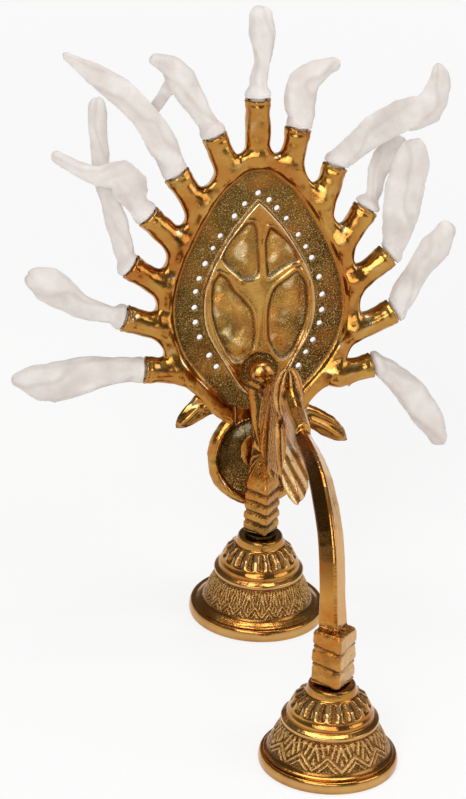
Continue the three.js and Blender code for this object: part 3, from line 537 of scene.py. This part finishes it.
def from_plate(plate):
    """The leaning plate's x, n, w as lamp-frame points."""
    return np.column_stack([
        plate[:, 0],
        PLATE_FOOT_Y + plate[:, 1] * LEAN_COS + plate[:, 2] * LEAN_SIN,
        plate[:, 2] * LEAN_COS - plate[:, 1] * LEAN_SIN,
    ])


def spout_place(number, plate):
    """How far points stand out of a spout's mouth, and how far across its axis they lie."""
    x, w, tilt = SPOUT_MOUTHS[number - 1]
    tilt = math.radians(tilt)
    dx, dw = plate[:, 0] - x, plate[:, 2] - w
    return (
        dx * math.sin(tilt) + dw * math.cos(tilt),
        dx * math.cos(tilt) - dw * math.sin(tilt),
    )


def mirrored(half):
    """The whole closed outline from its right half, which runs down from the top."""
    half = [tuple(p) for p in curve_through(half)]
    return half + [(-x, w) for x, w in reversed(half[1:-1])]


def relief(flat):
    """Height over the fan's floor of the oval, its band and its leaves, with the leaves' depth."""
    oval = depth_in(flat, mirrored(OVAL_HALF))
    leaf = np.full(len(flat), -1e9)
    for outline in LEAVES:
        leaf = np.maximum(leaf, depth_in(flat, closed_curve(outline)))
    band = FRAME_RISE * smoothstep(-0.9, 0.3, oval)
    crest = CREST_RISE * swell(oval, 0.62)
    hollow = (FRAME_RISE - 0.1) * smoothstep(-0.2, WALL_WIDTH, leaf)
    edge = 0.32 * swell(leaf + 0.6, 0.42) * (oval > 0)
    height = band + crest - hollow + edge + LEAF_SWELL * smoothstep(WALL_WIDTH, 4.2, leaf)
    return height, oval, leaf


def casting_gap(plate):
    """Distance of points from the rim and its spouts, which flow into each other."""
    inset = depth_in(plate[:, [0, 2]], mirrored(FAN_HALF))
    beside, over = RIM_ROUND - inset, np.abs(plate[:, 1]) - RIM_FLAT
    outer = np.hypot(np.maximum(beside, 0), np.maximum(over, 0))
    gap = outer + np.minimum(np.maximum(beside, over), 0) - RIM_ROUND
    for number, length in enumerate(SPOUT_LENGTHS, 1):
        out, across = spout_place(number, plate)
        past = np.maximum(-length + 1 - out, 0)
        radius = SPOUT_RADIUS + MOUTH_FLARE * smoothstep(-4.5, -0.8, out)
        spout = np.sqrt(across**2 + plate[:, 1] ** 2 + past**2) - radius
        near = np.maximum(ROOT_BLEND - np.abs(gap - spout), 0)
        gap = np.minimum(gap, spout) - near**2 / (4 * ROOT_BLEND)
    return gap


def to_blend(plate):
    """Points moved onto the surface where that distance is nought, along its slope."""
    step = 0.05
    gap = casting_gap(plate)
    slope = np.column_stack([
        (casting_gap(plate + np.eye(3)[k] * step) - gap) / step for k in range(3)
    ])
    size = np.maximum((slope**2).sum(1), 0.25)
    return plate - slope * (np.clip(gap, -1.5, 1.5) / size)[:, None]


def blend_roots(obj):
    """Lets the rim and the spouts' roots flow into each other, clear of the bores and petals."""
    mesh = obj.data
    points, _ = lamp_points(mesh)
    plate = to_plate(points)
    flat = plate[:, [0, 2]]
    inset = depth_in(flat, mirrored(FAN_HALF))
    places = [spout_place(number, plate) for number in range(1, WICK_COUNT + 1)]
    gaps = [np.hypot(across, plate[:, 1]) for _, across in places]
    gap = np.min(gaps, axis=0)
    behind = np.min([30 * (near > 6.5) - out for (out, _), near in zip(places, gaps)], axis=0)
    weight = smoothstep(5.0, 3.6, inset) * smoothstep(1.3, 2.6, behind) * smoothstep(9.5, 7.5, gap)
    lowest = np.where(np.abs(flat[:, 0]) > 19.5, 69.5, 76.0)
    weight *= ((gap > BORE_EDGE) | (behind > BORE_END)) * smoothstep(0, 3, flat[:, 1] - lowest)
    picked = weight > 0
    snapped = plate[picked]
    for _ in range(3):
        snapped = to_blend(snapped)
    plate[picked] += (snapped - plate[picked]) * weight[picked][:, None]
    move_to(mesh, from_plate(plate))
    step = np.hypot(np.abs(flat[:, 0]) - FRAME_STEP[0], flat[:, 1] - FRAME_STEP[1])
    return soften(obj, np.maximum(picked * smoothstep(1.3, 3.0, behind), smoothstep(5, 3, step)), 8)


def measure_fan(mesh):
    """What the fan's relief and coat are worked out from, at each vertex."""
    points, normals = lamp_points(mesh)
    plate = to_plate(points)
    flat = plate[:, [0, 2]]
    height, oval, leaf = relief(flat)
    peg = np.hypot(flat[:, 0], flat[:, 1] - PEG_W)
    in_leaf = smoothstep(0.5, 1.6, leaf)
    near = 0.45 + 0.55 * smoothstep(0.2, 1.2, leaf)
    height = height * smoothstep(5.0, 6.8, peg)
    height = height + near * (0.62 * wave(plate, 7.5, 3, 2) + 0.07 * wave(plate, 1.6, 9))
    height = height + in_leaf * (0.38 * wave(plate, 3.7, 21) + 0.12 * wave(plate, 1.9, 22))
    inset = depth_in(flat, mirrored(FAN_HALF))
    return SimpleNamespace(
        points=points, normals=normals, plate=plate, flat=flat, inset=inset,
        height=height, oval=oval, leaf=leaf, in_leaf=in_leaf, peg=peg,
        facing=smoothstep(0.15, 0.5, -(normals @ THROUGH)),
        backing=smoothstep(0.3, 0.8, normals @ THROUGH),
        petal=np.min([distance_to(flat, curve_through(line)) for line in PETALS], axis=0),
        outer=smoothstep(1, -1, inset) * smoothstep(76, 73, flat[:, 1]),
    )


def carve_fan(mesh, form):
    """Draws the relief on the field, ridges on the petals and the lumps of a sand casting."""
    drawn = smoothstep(6.0, 7.2, form.inset) * smoothstep(77, 82, form.flat[:, 1]) * form.facing
    drawn = drawn * smoothstep(4.6, 5.4, form.peg) * (form.plate[:, 1] < 0.4)
    rise = PLATE_FLOOR - form.height - form.plate[:, 1]
    lumps = wave(form.plate, 8, 3, 2) * 0.42 + wave(form.plate, 2.2, 9) * 0.05
    loose = (1 - drawn) * (0.4 + 0.6 * np.maximum(form.backing, smoothstep(2, 0, form.inset)))
    hollow = PETAL_HOLLOW * swell(form.petal - 1.9, 0.8)
    ridge = form.outer * form.facing * (PETAL_RIDGE * swell(form.petal, 0.7) - hollow)
    lumps = lumps + ridge / np.maximum(loose, 0.4)
    raised = THROUGH * (rise * drawn)[:, None]
    move_to(mesh, form.points + raised + form.normals * (lumps * loose)[:, None])


def coat_fan(mesh, form):
    """Dark and grainy in the recesses with painted shade in their hollows, painted highlights on the
    ridges, on faces that turn up and on the rim, and worn and mottled between.
    """
    plate, flat, facing, inset = form.plate, form.flat, form.facing, form.inset
    oval, leaf, in_leaf = form.oval, form.leaf, form.in_leaf
    _, normals = lamp_points(mesh)
    upward = normals @ UPWARD
    bowl = np.hypot(flat[:, 0] - DISH_CENTRE[0], flat[:, 1] - DISH_CENTRE[1]) < DISH_RADIUS
    sunk = smoothstep(5.2, 6.4, inset) * facing
    sunk = np.maximum(sunk, facing * bowl * (plate[:, 1] > -1.9))
    raised = smoothstep(0.45, 0.9, form.height) * (oval > -0.8)
    bare = np.clip(raised * (1 - smoothstep(0, 0.7, leaf)) + 0.8 * swell(oval, 0.7), 0, 1)
    coarse = smoothstep(-6, 22, flat[:, 0] - 0.3 * (flat[:, 1] - 105))
    worn = np.clip(0.05 + 0.6 * wave(plate, 7, 5) + in_leaf * (0.6 - 0.4 * coarse), 0, 1)
    # Walls of the rim's step and of the leaves, which get a reddish painted shade where they face down
    slope = swell(inset - 5.4, 0.9) * facing + 0.9 * swell(leaf - 0.35, 0.5) * (oval > 0)
    # Painted highlight on faces in the recess that turn up
    lit = smoothstep(0.14, 0.42, upward) * facing * smoothstep(5.5, 7, inset)
    # Painted highlights in patches on the leaves
    leaf_highlights = smoothstep(0.25, 0.6, wave(plate, 4.4, 33)) * in_leaf * (1 - 0.8 * coarse)
    # Painted shadow in the dish, darker towards its upper left
    dish_shadow = bowl * smoothstep(49, 62, flat[:, 1] - 0.35 * flat[:, 0])
    # Random dark patches, plus the dish's painted shadow
    gloom = np.clip(0.6 * smoothstep(0.25, 0.8, wave(plate, 10, 44)) + 1.8 * dish_shadow, 0, 1)
    rim = smoothstep(5.6, 4.6, inset)
    # Painted glints on the rim where it turns up
    glints = rim * smoothstep(0.15, 0.6, wave(plate, 4.2, 61)) * smoothstep(-0.2, 0.5, upward)
    stains = rim * smoothstep(0.3, 0.75, wave(plate, 3.2, 62)) * facing
    recess = sunk * (1 - bare)
    grain = (0.3 + 0.7 * coarse) * (1 - 0.4 * in_leaf) * (1 - 0.6 * gloom)
    coat(
        mesh,
        polish=1 - recess * (1 - worn),
        # Reddish painted shade on walls that face down, over a random warm tone
        warmth=0.1 + 0.8 * slope * smoothstep(0.25, -0.1, upward) + 0.35 * wave(plate, 9, 12),
        # Painted highlights: up-turned faces in the recess, the oval's crest, patches on the leaves and
        # glints on the rim
        painted_highlight=0.35 * lit + 0.4 * swell(oval, 0.5) * (inset > 7) + 0.5 * leaf_highlights + 0.7 * glints,
        sand=recess * grain + 0.02,
        # Painted shade in the dish, at the foot of the rim's inner wall, inside the leaves' walls and in
        # the petals' hollows; random dark patches in the recess and stains on the rim
        shade_and_stains=recess * (0.65 * gloom * (1 - in_leaf) + 0.3 * swell(inset - 6.3, 0.8))
        + 0.5 * swell(leaf - 0.6, 0.45) * (oval > 0) * facing
        + 0.55 * form.outer * facing * swell(form.petal - 1.9, 0.7) + 0.45 * stains,
    )


def fan_casting():
    """The fan with its leaf relief drawn sharp, soft spout roots and sand-cast grain."""
    obj = recast("fan_plate", "fan_casting", FAN_VOXEL, 3, CAST)
    mesh = blend_roots(obj)
    form = measure_fan(mesh)
    carve_fan(mesh, form)
    coat_fan(mesh, form)
    return obj


# Feet


def foot_profile(waist):
    """The bell's closed section from its lower rim up the outside and down the hollow."""
    foot, top, ring = waist["band_foot"], waist["band_top"], waist["ring"]
    upper, collar = waist["upper"], waist["collar"]
    inner = FLANGE_RADIUS - RIM_WIDTH
    corners = [
        (inner + 0.3, 0), (FLANGE_RADIUS - 0.35, 0), (FLANGE_RADIUS, 0.4),
        (FLANGE_RADIUS - 0.15, 2.2), (FLANGE_RADIUS - 0.5, 3.5), (FLANGE_RADIUS - 1.1, 3.8),
        (FLANGE_RADIUS - 2.2, 3.7), (foot + 1.5, 4.4), (foot + 0.5, BAND_BOTTOM - 0.5),
        (foot, BAND_BOTTOM), (foot * 0.55 + top * 0.45 + 0.2, (BAND_BOTTOM + BAND_TOP) / 2),
        (top, BAND_TOP), (ring - 0.2, BAND_TOP + 0.35), (ring, BAND_TOP + 0.9),
        (ring - 0.1, BAND_TOP + 1.7), (upper - 0.1, BAND_TOP + 2.5), (upper + 0.05, BAND_TOP + 3.1),
        (upper, BAND_TOP + 3.9), (upper - 0.7, SHOULDER_BOTTOM - 0.5),
        (upper - 1.0, SHOULDER_BOTTOM + 0.4), (upper - 2.2, SHOULDER_BOTTOM + 3),
        (collar + 0.9, SHOULDER_TOP - 0.7), (collar, SHOULDER_TOP), (collar - 0.1, SHOULDER_TOP + 0.8),
        (collar - 0.6, COLLAR_TOP - 0.4), (collar - 1.0, COLLAR_TOP), (STUD_CLEARANCE + 0.3, COLLAR_TOP),
        (STUD_CLEARANCE, COLLAR_TOP - 0.3), (STUD_CLEARANCE, FOOT_CEILING),
        (upper - FOOT_WALL - 2.8, FOOT_CEILING), (upper - FOOT_WALL - 1.5, SHOULDER_BOTTOM),
        (top - FOOT_WALL, BAND_TOP), (foot - FOOT_WALL, BAND_BOTTOM), (inner, 1.4), (inner, 0.3),
    ]
    section = []
    for a, b in zip(corners, corners[1:] + corners[:1]):
        a, b = np.array(a, float), np.array(b, float)
        fine = a[1] > 3 and a[0] > 6
        steps = max(1, round(np.hypot(*(b - a)) / (0.16 if fine else 0.7)))
        section += [a + (b - a) * i / steps for i in range(steps)]
    section = np.array(section)
    for _ in range(3):
        soft = (np.roll(section, 1, 0) + 2 * section + np.roll(section, -1, 0)) / 4
        keep = (section[:, 1] < 0.3) | (section[:, 0] < 6)
        section = np.where(keep[:, None], section, soft)
    return section


def chasing(angle, z, teeth, bold):
    """Chased band from 0 to 1: pointed teeth at its foot, and fanned leaf strokes over them."""
    cell = angle * teeth / (2 * math.pi)
    across = np.abs((cell % 1) - 0.5) * 2
    up = (z - BAND_BOTTOM) / (BAND_TOP - BAND_BOTTOM)
    tooth = 0.1 + (0.3 + 0.14 * bold) * (1 - across)
    thick = 0.055 + 0.02 * bold
    teeth_line = swell(up - tooth, thick)
    inner = swell(up - tooth + 0.2, 0.8 * thick) * (up > 0.06)
    side = np.where((cell % 1) < 0.5, 1.0, -1.0)
    strokes = 0.5 + 0.5 * np.cos(2 * math.pi * (cell * 5 + side * (up - 0.4) * (1.2 + across)))
    strokes = strokes * smoothstep(thick, 2.2 * thick, up - tooth) * smoothstep(0.99, 0.9, up)
    scallop = swell(up - 0.86 + 0.13 * across**2, 0.045) * 0.8
    return np.clip(np.maximum(np.maximum(teeth_line, inner), np.maximum(scallop, strokes**0.8)), 0, 1)


def turned_faces(count):
    """The quads between the sides of a turned piece whose section has that many points."""
    faces = []
    for i in range(FOOT_SIDES):
        j = (i + 1) % FOOT_SIDES
        for k in range(count):
            m = (k + 1) % count
            faces.append((i * count + k, j * count + k, j * count + m, i * count + m))
    return faces


def bell_foot(node, name, waist, teeth, bold, seed):
    """A turned bell whose band is chased, the more deeply the bolder, and whose shoulder is fluted."""
    section = foot_profile(waist)
    count = len(section)
    turns = np.arange(FOOT_SIDES) * 2 * math.pi / FOOT_SIDES
    angle = np.repeat(turns[:, None], count, 1)
    radius = np.repeat(section[:, 0][None], FOOT_SIDES, 0)
    z = np.repeat(section[:, 1][None], FOOT_SIDES, 0)
    outside = np.zeros(count)
    top = int(np.argmax((section[:, 0] < waist["collar"] - 0.5) & (section[:, 1] > SHOULDER_TOP)))
    outside[:top] = 1

    around = np.column_stack([
        (radius * np.cos(angle)).ravel(), (radius * np.sin(angle)).ravel(), z.ravel(),
    ])
    fine = wave(around, 0.9, seed).reshape(radius.shape)
    broad = wave(around, 2.2, seed + 4).reshape(radius.shape)
    rough = fine * 0.5 + broad * 0.5
    flutes = smoothstep(0, 0.9, z - SHOULDER_BOTTOM - 0.2) * smoothstep(0, 0.7, SHOULDER_TOP - 0.4 - z)
    groove = (0.5 + 0.5 * np.cos(FLUTES * angle)) ** 1.6
    band = smoothstep(0, 0.5, z - BAND_BOTTOM) * smoothstep(0, 0.4, BAND_TOP - z)
    loose = 1.6 - bold
    strokes = chasing(angle + 0.025 * loose * rough, z + 0.45 * loose * rough, teeth, bold)
    drawn = np.clip(strokes + 0.4 * rough - 0.15 * (1 - bold), 0, 1)
    chased = band * (drawn - 0.6) * (0.45 + 0.2 * bold)
    radius = radius + outside * (chased - flutes * groove * (FLUTE_DEPTH + 0.3 * rough))

    axis = foot_axis(node)
    points = np.column_stack([
        (axis.x + radius * np.cos(angle) * MM).ravel(),
        (axis.y + radius * np.sin(angle) * MM).ravel(),
        (z * MM).ravel(),
    ])
    mesh = bpy.data.meshes.new(name)
    mesh.from_pydata(points, [], turned_faces(count))
    obj = new_object(name, mesh, TURNED)
    # Painted shade in the low parts of the chased band and in the flutes' grooves
    sunk = band * smoothstep(0.75, 0.15, drawn) + flutes * smoothstep(0.2, 0.75, groove)
    gutter = swell(z - BAND_BOTTOM + 0.2, 0.5) * 0.6
    # Painted highlights: a ring over the band and one round the flange's outer edge, the ridges between
    # the flutes and the band's raised strokes
    ring = swell(z - BAND_TOP - 1.2, 0.7) + swell(z - 1.9, 1.1) * (radius > FLANGE_RADIUS - 0.5)
    tongue = flutes * smoothstep(0.45, 0.1, groove)
    coat(
        mesh,
        polish=1 - outside * (sunk + gutter) - 0.5 * (1 - outside),
        warmth=0.2 + 0.6 * gutter + 0.25 * flutes,
        painted_highlight=outside * (0.3 * ring + 0.35 * tongue + 0.45 * band * smoothstep(0.55, 1.0, drawn)),
        sand=outside * (band * 0.45 + 0.4 * flutes * groove) + 0.03,
    )
    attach(obj, "lamp")
    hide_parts(node)
    return obj


# Handle and peg


def post_strokes(points):
    """Strokes on the post from -1 to 1, and which points lie in its long leaf."""
    x, y, z = points.T
    axis_y = POST_LEAN * (z - 45)
    around = np.arctan2(x + 1.2, -(y - axis_y))
    rise = np.clip((z - 49) / 38, 0.02, 0.98)
    nested = np.abs(around) / (0.25 + 0.75 * np.sin(math.pi * rise))
    in_leaf = nested < 1.2
    leaf_lines = np.cos(2 * math.pi * nested * 3) * in_leaf
    beside = smoothstep(1.15, 1.3, nested)
    upper = smoothstep(79, 82, z) * smoothstep(0.2, 0.5, -around)
    nested_vs = 0.8 * np.cos(2 * math.pi * (z * 0.34 + 1.1 * np.abs(around + 1)))
    upright = np.cos(2 * math.pi * (4.2 * around + 0.35 * wave(points, 9, 40)))
    return leaf_lines + beside * (upper * nested_vs + (1 - upper) * upright), in_leaf


def crest_flutes(points):
    """Where the bulbs of the crest lie, and their flutes from -1 to 1."""
    x, y, z = points.T
    line = [(a, POST_TOP + b) for a, b in curve_through(CREST, 4)]
    away = np.hypot(distance_to(points[:, 1:], line), x)
    front = np.interp(z, *zip(*FLUTE_AXIS))
    flutes = np.cos(9 * np.arctan2(x, -(y - front)))
    return smoothstep(5.6, 4.8, away) * (z > 64) * (y < -15), flutes


def neck_cuts(points, side):
    """The grooves between the ribs of both necks, from 0 to 1."""
    x, y, z = points.T
    rear = y > -FOOT_SPAN / 2
    rib = np.where(rear, (z - NECK_FROM[0]) / RIB_PITCH[0], (z - NECK_FROM[1]) / RIB_PITCH[1])
    rib = rib - 0.03 * np.abs(x)
    groove = swell((rib + 0.5) % 1 - 0.5, np.where(rear, 0.16, 0.08))
    return groove * smoothstep(49, 46.5, z) * (z > 30) * side


def handle_casting():
    """The handle with its carved head: a long leaf on the post, fluted bulbs and a veined leaf."""
    obj = recast("handle", "handle_casting", HANDLE_VOXEL, 2, BAR)
    mesh = obj.data
    points, normals = lamp_points(mesh)
    x, y, z = points.T
    side = smoothstep(0.15, 0.5, 1 - np.abs(normals[:, 2]))
    post = smoothstep(-13, -10, y) * smoothstep(47.5, 52, z) * side
    post_lines, in_leaf = post_strokes(points)
    crest, flutes = crest_flutes(points)
    leaf = smoothstep(-36, -38, y) * smoothstep(-47, -45, y) * smoothstep(88, 84, z)
    leaf = leaf * (z > 60) * (1 - crest)
    veins = np.cos(2 * math.pi * (0.3 * x + 0.16 * z))
    web = (1 - post) * (1 - crest) * (1 - leaf) * smoothstep(-34, -30, y) * (z > 56) * side * (y < -6)
    strokes = np.cos(2 * math.pi * (0.24 * z - 0.2 * y + 0.12 * np.abs(x)))
    lines = post * post_lines + crest * flutes + leaf * veins + web * strokes
    depth = POST_STROKE * post + BULB_STROKE * crest + LEAF_STROKE * leaf + WEB_STROKE * web
    carved = np.clip(post + crest + web + 0.6 * leaf, 0, 1)
    grit = wave(points, 1.2, 2) * 0.1 * carved + wave(points, 5, 7) * 0.08
    neck = smoothstep(51, 47, z) * smoothstep(27, 31, z)
    cut = neck_cuts(points, side)
    worn = neck * (0.25 * wave(points, 3.5, 30) + 0.15 * wave(points, 1.6, 31)) - RIB_CUT * cut
    waist = CREST_WAIST * crest * swell(z - POST_TOP - 2.7, 1.5)
    move_to(mesh, points + normals * (lines * depth + grit + worn - waist - 0.12 * carved)[:, None])

    # Painted shade on the bar's faces that turn left
    left = smoothstep(-0.35, -0.7, normals[:, 0]) * smoothstep(54, 72, z) * smoothstep(-38, -50, y)
    # Painted highlight on faces that turn right at the front end of the bar
    right = smoothstep(0.35, 0.7, normals[:, 0]) * (y < -48)
    # Painted shade in the carved grooves
    groove = carved * smoothstep(0.3, -0.7, lines)
    dull = smoothstep(0.2, -0.6, wave(points, 4, 8))
    coat(
        mesh,
        # Darker as painted shade in the carved grooves, at the crest's waist, on the bar's left faces
        # and in the necks' grooves
        polish=1 - 0.95 * groove - 0.15 * (post + web) - 0.6 * waist - 0.8 * left
        - 0.5 * neck * dull - 0.7 * cut,
        warmth=0.12 + 0.75 * post * in_leaf + 0.15 * web
        + 0.3 * smoothstep(0.2, 0.8, wave(points, 12, 9)),
        # Painted highlights on the bar's right faces and on the raised veins, strokes and flutes
        painted_highlight=0.4 * right + 0.6 * leaf * smoothstep(-0.5, 0.6, lines)
        + 0.3 * web * smoothstep(0.3, 1, lines)
        + 0.25 * crest * smoothstep(0.5, 1, lines),
        sand=0.04 + 0.35 * carved + 0.25 * neck,
        # Painted shade in the carved grooves and between the necks' ribs
        shade_and_stains=0.5 * groove * smoothstep(0.1, -0.9, lines) + 0.4 * cut,
    )
    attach(obj, "lamp")
    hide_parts("handle")
    return obj


def peg():
    obj = recast("upper_peg", "domed_peg", PEG_VOXEL, 6, BAR)
    # A faint painted highlight over the whole peg
    coat(obj.data, polish=1.0, warmth=0.3, painted_highlight=0.1, sand=0.12)
    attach(obj, "lamp")
    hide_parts("upper_peg")
    return obj


def bare_pieces():
    """Gives the small pieces that stay as they are dark, uncoated brass, or steel in the feet."""
    for node, obj in NODES.items():
        if node.startswith(("rear_neck", "dish_")):
            material = TURNED
        elif "stud" in node or "washer" in node or "nut" in node:
            material = STEEL
        else:
            continue
        for place in obj.material_slots:
            place.material = material


# Wicks


def along_path(plate, number):
    """How far along the wick's middle line each point lies, and its angle round that line."""
    x, w, tilt = SPOUT_MOUTHS[number - 1]
    tilt = math.radians(tilt)
    mouth = np.array([x, 0, w])
    axis = np.array([math.sin(tilt), 0, math.cos(tilt)])
    path = [mouth - 9 * axis, mouth + axis]
    path += [mouth + np.array(p) for p in WICK_PATHS[number - 1]]
    line = np.array(curve_through(path, 8))
    steps = np.linalg.norm(np.diff(line, axis=0), axis=1)
    best = np.full(len(plate), 1e9)
    run = np.zeros(len(plate))
    angle = np.zeros(len(plate))
    start = 0.0
    for a, b, step in zip(line[:-1], line[1:], steps):
        ahead = (b - a) / step
        t = np.clip((plate - a) @ ahead, 0, step)
        gap = plate - a - t[:, None] * ahead
        away = np.linalg.norm(gap, axis=1)
        across = np.array([ahead[2], 0, -ahead[0]])
        nearer = away < best
        best = np.where(nearer, away, best)
        run = np.where(nearer, start + t, run)
        angle = np.where(nearer, np.arctan2(gap[:, 1], gap @ across), angle)
        start += step
    return run, angle


def wick(number):
    """A soft cotton wick that fills its spout's mouth, with the folds that its rolling leaves."""
    node = f"wick_{number:02d}"
    obj = recast(node, f"cotton_{number:02d}", WICK_VOXEL, 12, COTTON)
    mesh = obj.data
    points, normals = lamp_points(mesh)
    plate = to_plate(points)
    run, angle = along_path(plate, number)
    out, across = spout_place(number, plate)
    tilt = math.radians(SPOUT_MOUTHS[number - 1][2])
    gap = np.maximum(np.hypot(across, plate[:, 1]), 1e-6)
    neck = smoothstep(0.3, 0.75, out) * smoothstep(4.6, 1.6, out)
    push = np.maximum(NECK_RADIUS - gap, 0) * neck / gap
    plate[:, 0] += push * across * math.cos(tilt)
    plate[:, 2] -= push * across * math.sin(tilt)
    plate[:, 1] += push * plate[:, 1] + ASIDE.get(number, 0) * smoothstep(3, 11, out)
    points = from_plate(plate)

    bend = angle + 0.09 * run + number
    folds = 0.3 * np.cos(2 * bend + 1.4 * wave(points, 11, number))
    crease = swell(np.sin(bend + 0.9 * wave(points, 8, number + 40)), 0.34)
    lumps = wave(points, 7.5, number * 1.3, 2) * 0.42
    fuzz = wave(points, 0.9, number) * 0.05
    free = smoothstep(1.5, 6.0, out)
    lift = (folds + lumps - 0.3 * crease - 0.1) * free + fuzz * (out > 0.2)
    move_to(mesh, points + normals * lift[:, None])
    # Painted shade: darker in the creases and in the hollows between the lumps
    paint(mesh, "crease", 0.3 * crease * free + 0.25 * smoothstep(0.1, -0.5, lumps))
    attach(obj, node)
    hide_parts(node)
    return obj


# Stage


def table_floor():
    """A white table that keeps the lamp's shadow, and that reflections see as white too."""
    s = Shader("studio_floor").set(Roughness=0.9, Metallic=0.0)
    s.bsdf.inputs["Specular IOR Level"].default_value = 0.1
    s.link(s.mix(s.noise(3, 2), "FAFAF8", "FDFDFC"), s.bsdf.inputs["Base Color"])
    rays = s.nodes.new("ShaderNodeLightPath").outputs
    seen = s.math("MAXIMUM", rays["Is Camera Ray"],
                  s.math("MAXIMUM", rays["Is Glossy Ray"], rays["Is Transmission Ray"]))
    reach = s.nodes.new("ShaderNodeVectorMath")
    reach.operation = "LENGTH"
    s.link(s.place, reach.inputs[0])
    far = s.ramp(reach.outputs["Value"], (FLOOR_NEAR, FLOOR_WHITE), (FLOOR_FAR, 1.0))
    white = s.nodes.new("ShaderNodeEmission")
    blend = s.nodes.new("ShaderNodeMixShader")
    s.link(s.math("MULTIPLY", seen, far), blend.inputs["Fac"])
    s.link(s.bsdf.outputs["BSDF"], blend.inputs[1])
    s.link(white.outputs["Emission"], blend.inputs[2])
    s.link(blend.outputs["Shader"], s.nodes["Material Output"].inputs["Surface"])
    mesh = bpy.data.meshes.new("studio_floor")
    corners = [(-1, -1), (1, -1), (1, 1), (-1, 1)]
    mesh.from_pydata([(x * FLOOR_HALF, y * FLOOR_HALF, 0) for x, y in corners], [], [(0, 1, 2, 3)])
    floor = new_object("studio_floor", mesh, s.material)
    floor.location.z = -FLOOR_DROP


def sky():
    """A world whose brightness depends on how high one looks."""
    world = bpy.data.worlds.new("studio")
    world.use_nodes = True
    nodes, links = world.node_tree.nodes, world.node_tree.links
    background = nodes["Background"]
    background.inputs["Strength"].default_value = 1.0
    split = nodes.new("ShaderNodeSeparateXYZ")
    ramp = nodes.new("ShaderNodeValToRGB")
    while len(ramp.color_ramp.elements) < len(SKY):
        ramp.color_ramp.elements.new(0.5)
    for element, (height, level) in zip(ramp.color_ramp.elements, SKY):
        element.position = height
        element.color = (level * 0.97, level * 0.985, level, 1)
    links.new(nodes.new("ShaderNodeTexCoord").outputs["Generated"], split.inputs["Vector"])
    links.new(split.outputs["Z"], ramp.inputs["Fac"])
    links.new(ramp.outputs["Color"], background.inputs["Color"])
    bpy.context.scene.world = world


def lights():
    for name, place, width, height, power in LIGHTS:
        light = bpy.data.lights.new(name, "AREA")
        light.shape = "RECTANGLE"
        light.size, light.size_y, light.energy = width, height, power
        lamp = bpy.data.objects.new(name, light)
        bpy.context.scene.collection.objects.link(lamp)
        lamp.location = place
        aim = LIGHT_AIM - Vector(place)
        lamp.rotation_euler = aim.to_track_quat("-Z", "Y").to_euler()


def camera():
    yaw, pitch = CAMERA_YAW, CAMERA_PITCH
    right = Vector((math.cos(yaw), -math.sin(yaw), 0))
    level = Vector((math.sin(yaw), math.cos(yaw), 0))
    forward = level * math.cos(pitch) - Vector((0, 0, math.sin(pitch)))
    target = right * CAMERA_TARGET[0] + Vector((0, 0, CAMERA_TARGET[1]))
    place = (target - forward * CAMERA_DISTANCE) * MM + LAMP
    up = right.cross(forward)
    data = bpy.data.cameras.new("photo_camera")
    data.sensor_fit = "AUTO"
    data.sensor_width = SENSOR
    data.lens = CAMERA_FOCAL_PX / IMAGE_HEIGHT * SENSOR
    data.clip_end = 100
    obj = bpy.data.objects.new("photo_camera", data)
    bpy.context.scene.collection.objects.link(obj)
    turn = Matrix((right, up, -forward)).transposed()
    obj.matrix_world = Matrix.Translation(place) @ turn.to_4x4() @ Matrix.Rotation(CAMERA_ROLL, 4, "Z")
    bpy.context.scene.camera = obj


def main():
    bpy.context.scene.view_settings.view_transform = "Standard"
    table_floor()
    sky()
    lights()
    camera()
    fan = fan_casting()
    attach(fan, "lamp")
    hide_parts("fan_plate")
    bell_foot("rear_foot", "rear_bell", REAR_WAIST, teeth=22, bold=0.25, seed=1)
    bell_foot("front_foot", "front_bell", FRONT_WAIST, teeth=12, bold=1.0, seed=2)
    handle_casting()
    peg()
    for number in range(1, WICK_COUNT + 1):
        wick(number)
    bare_pieces()


main()
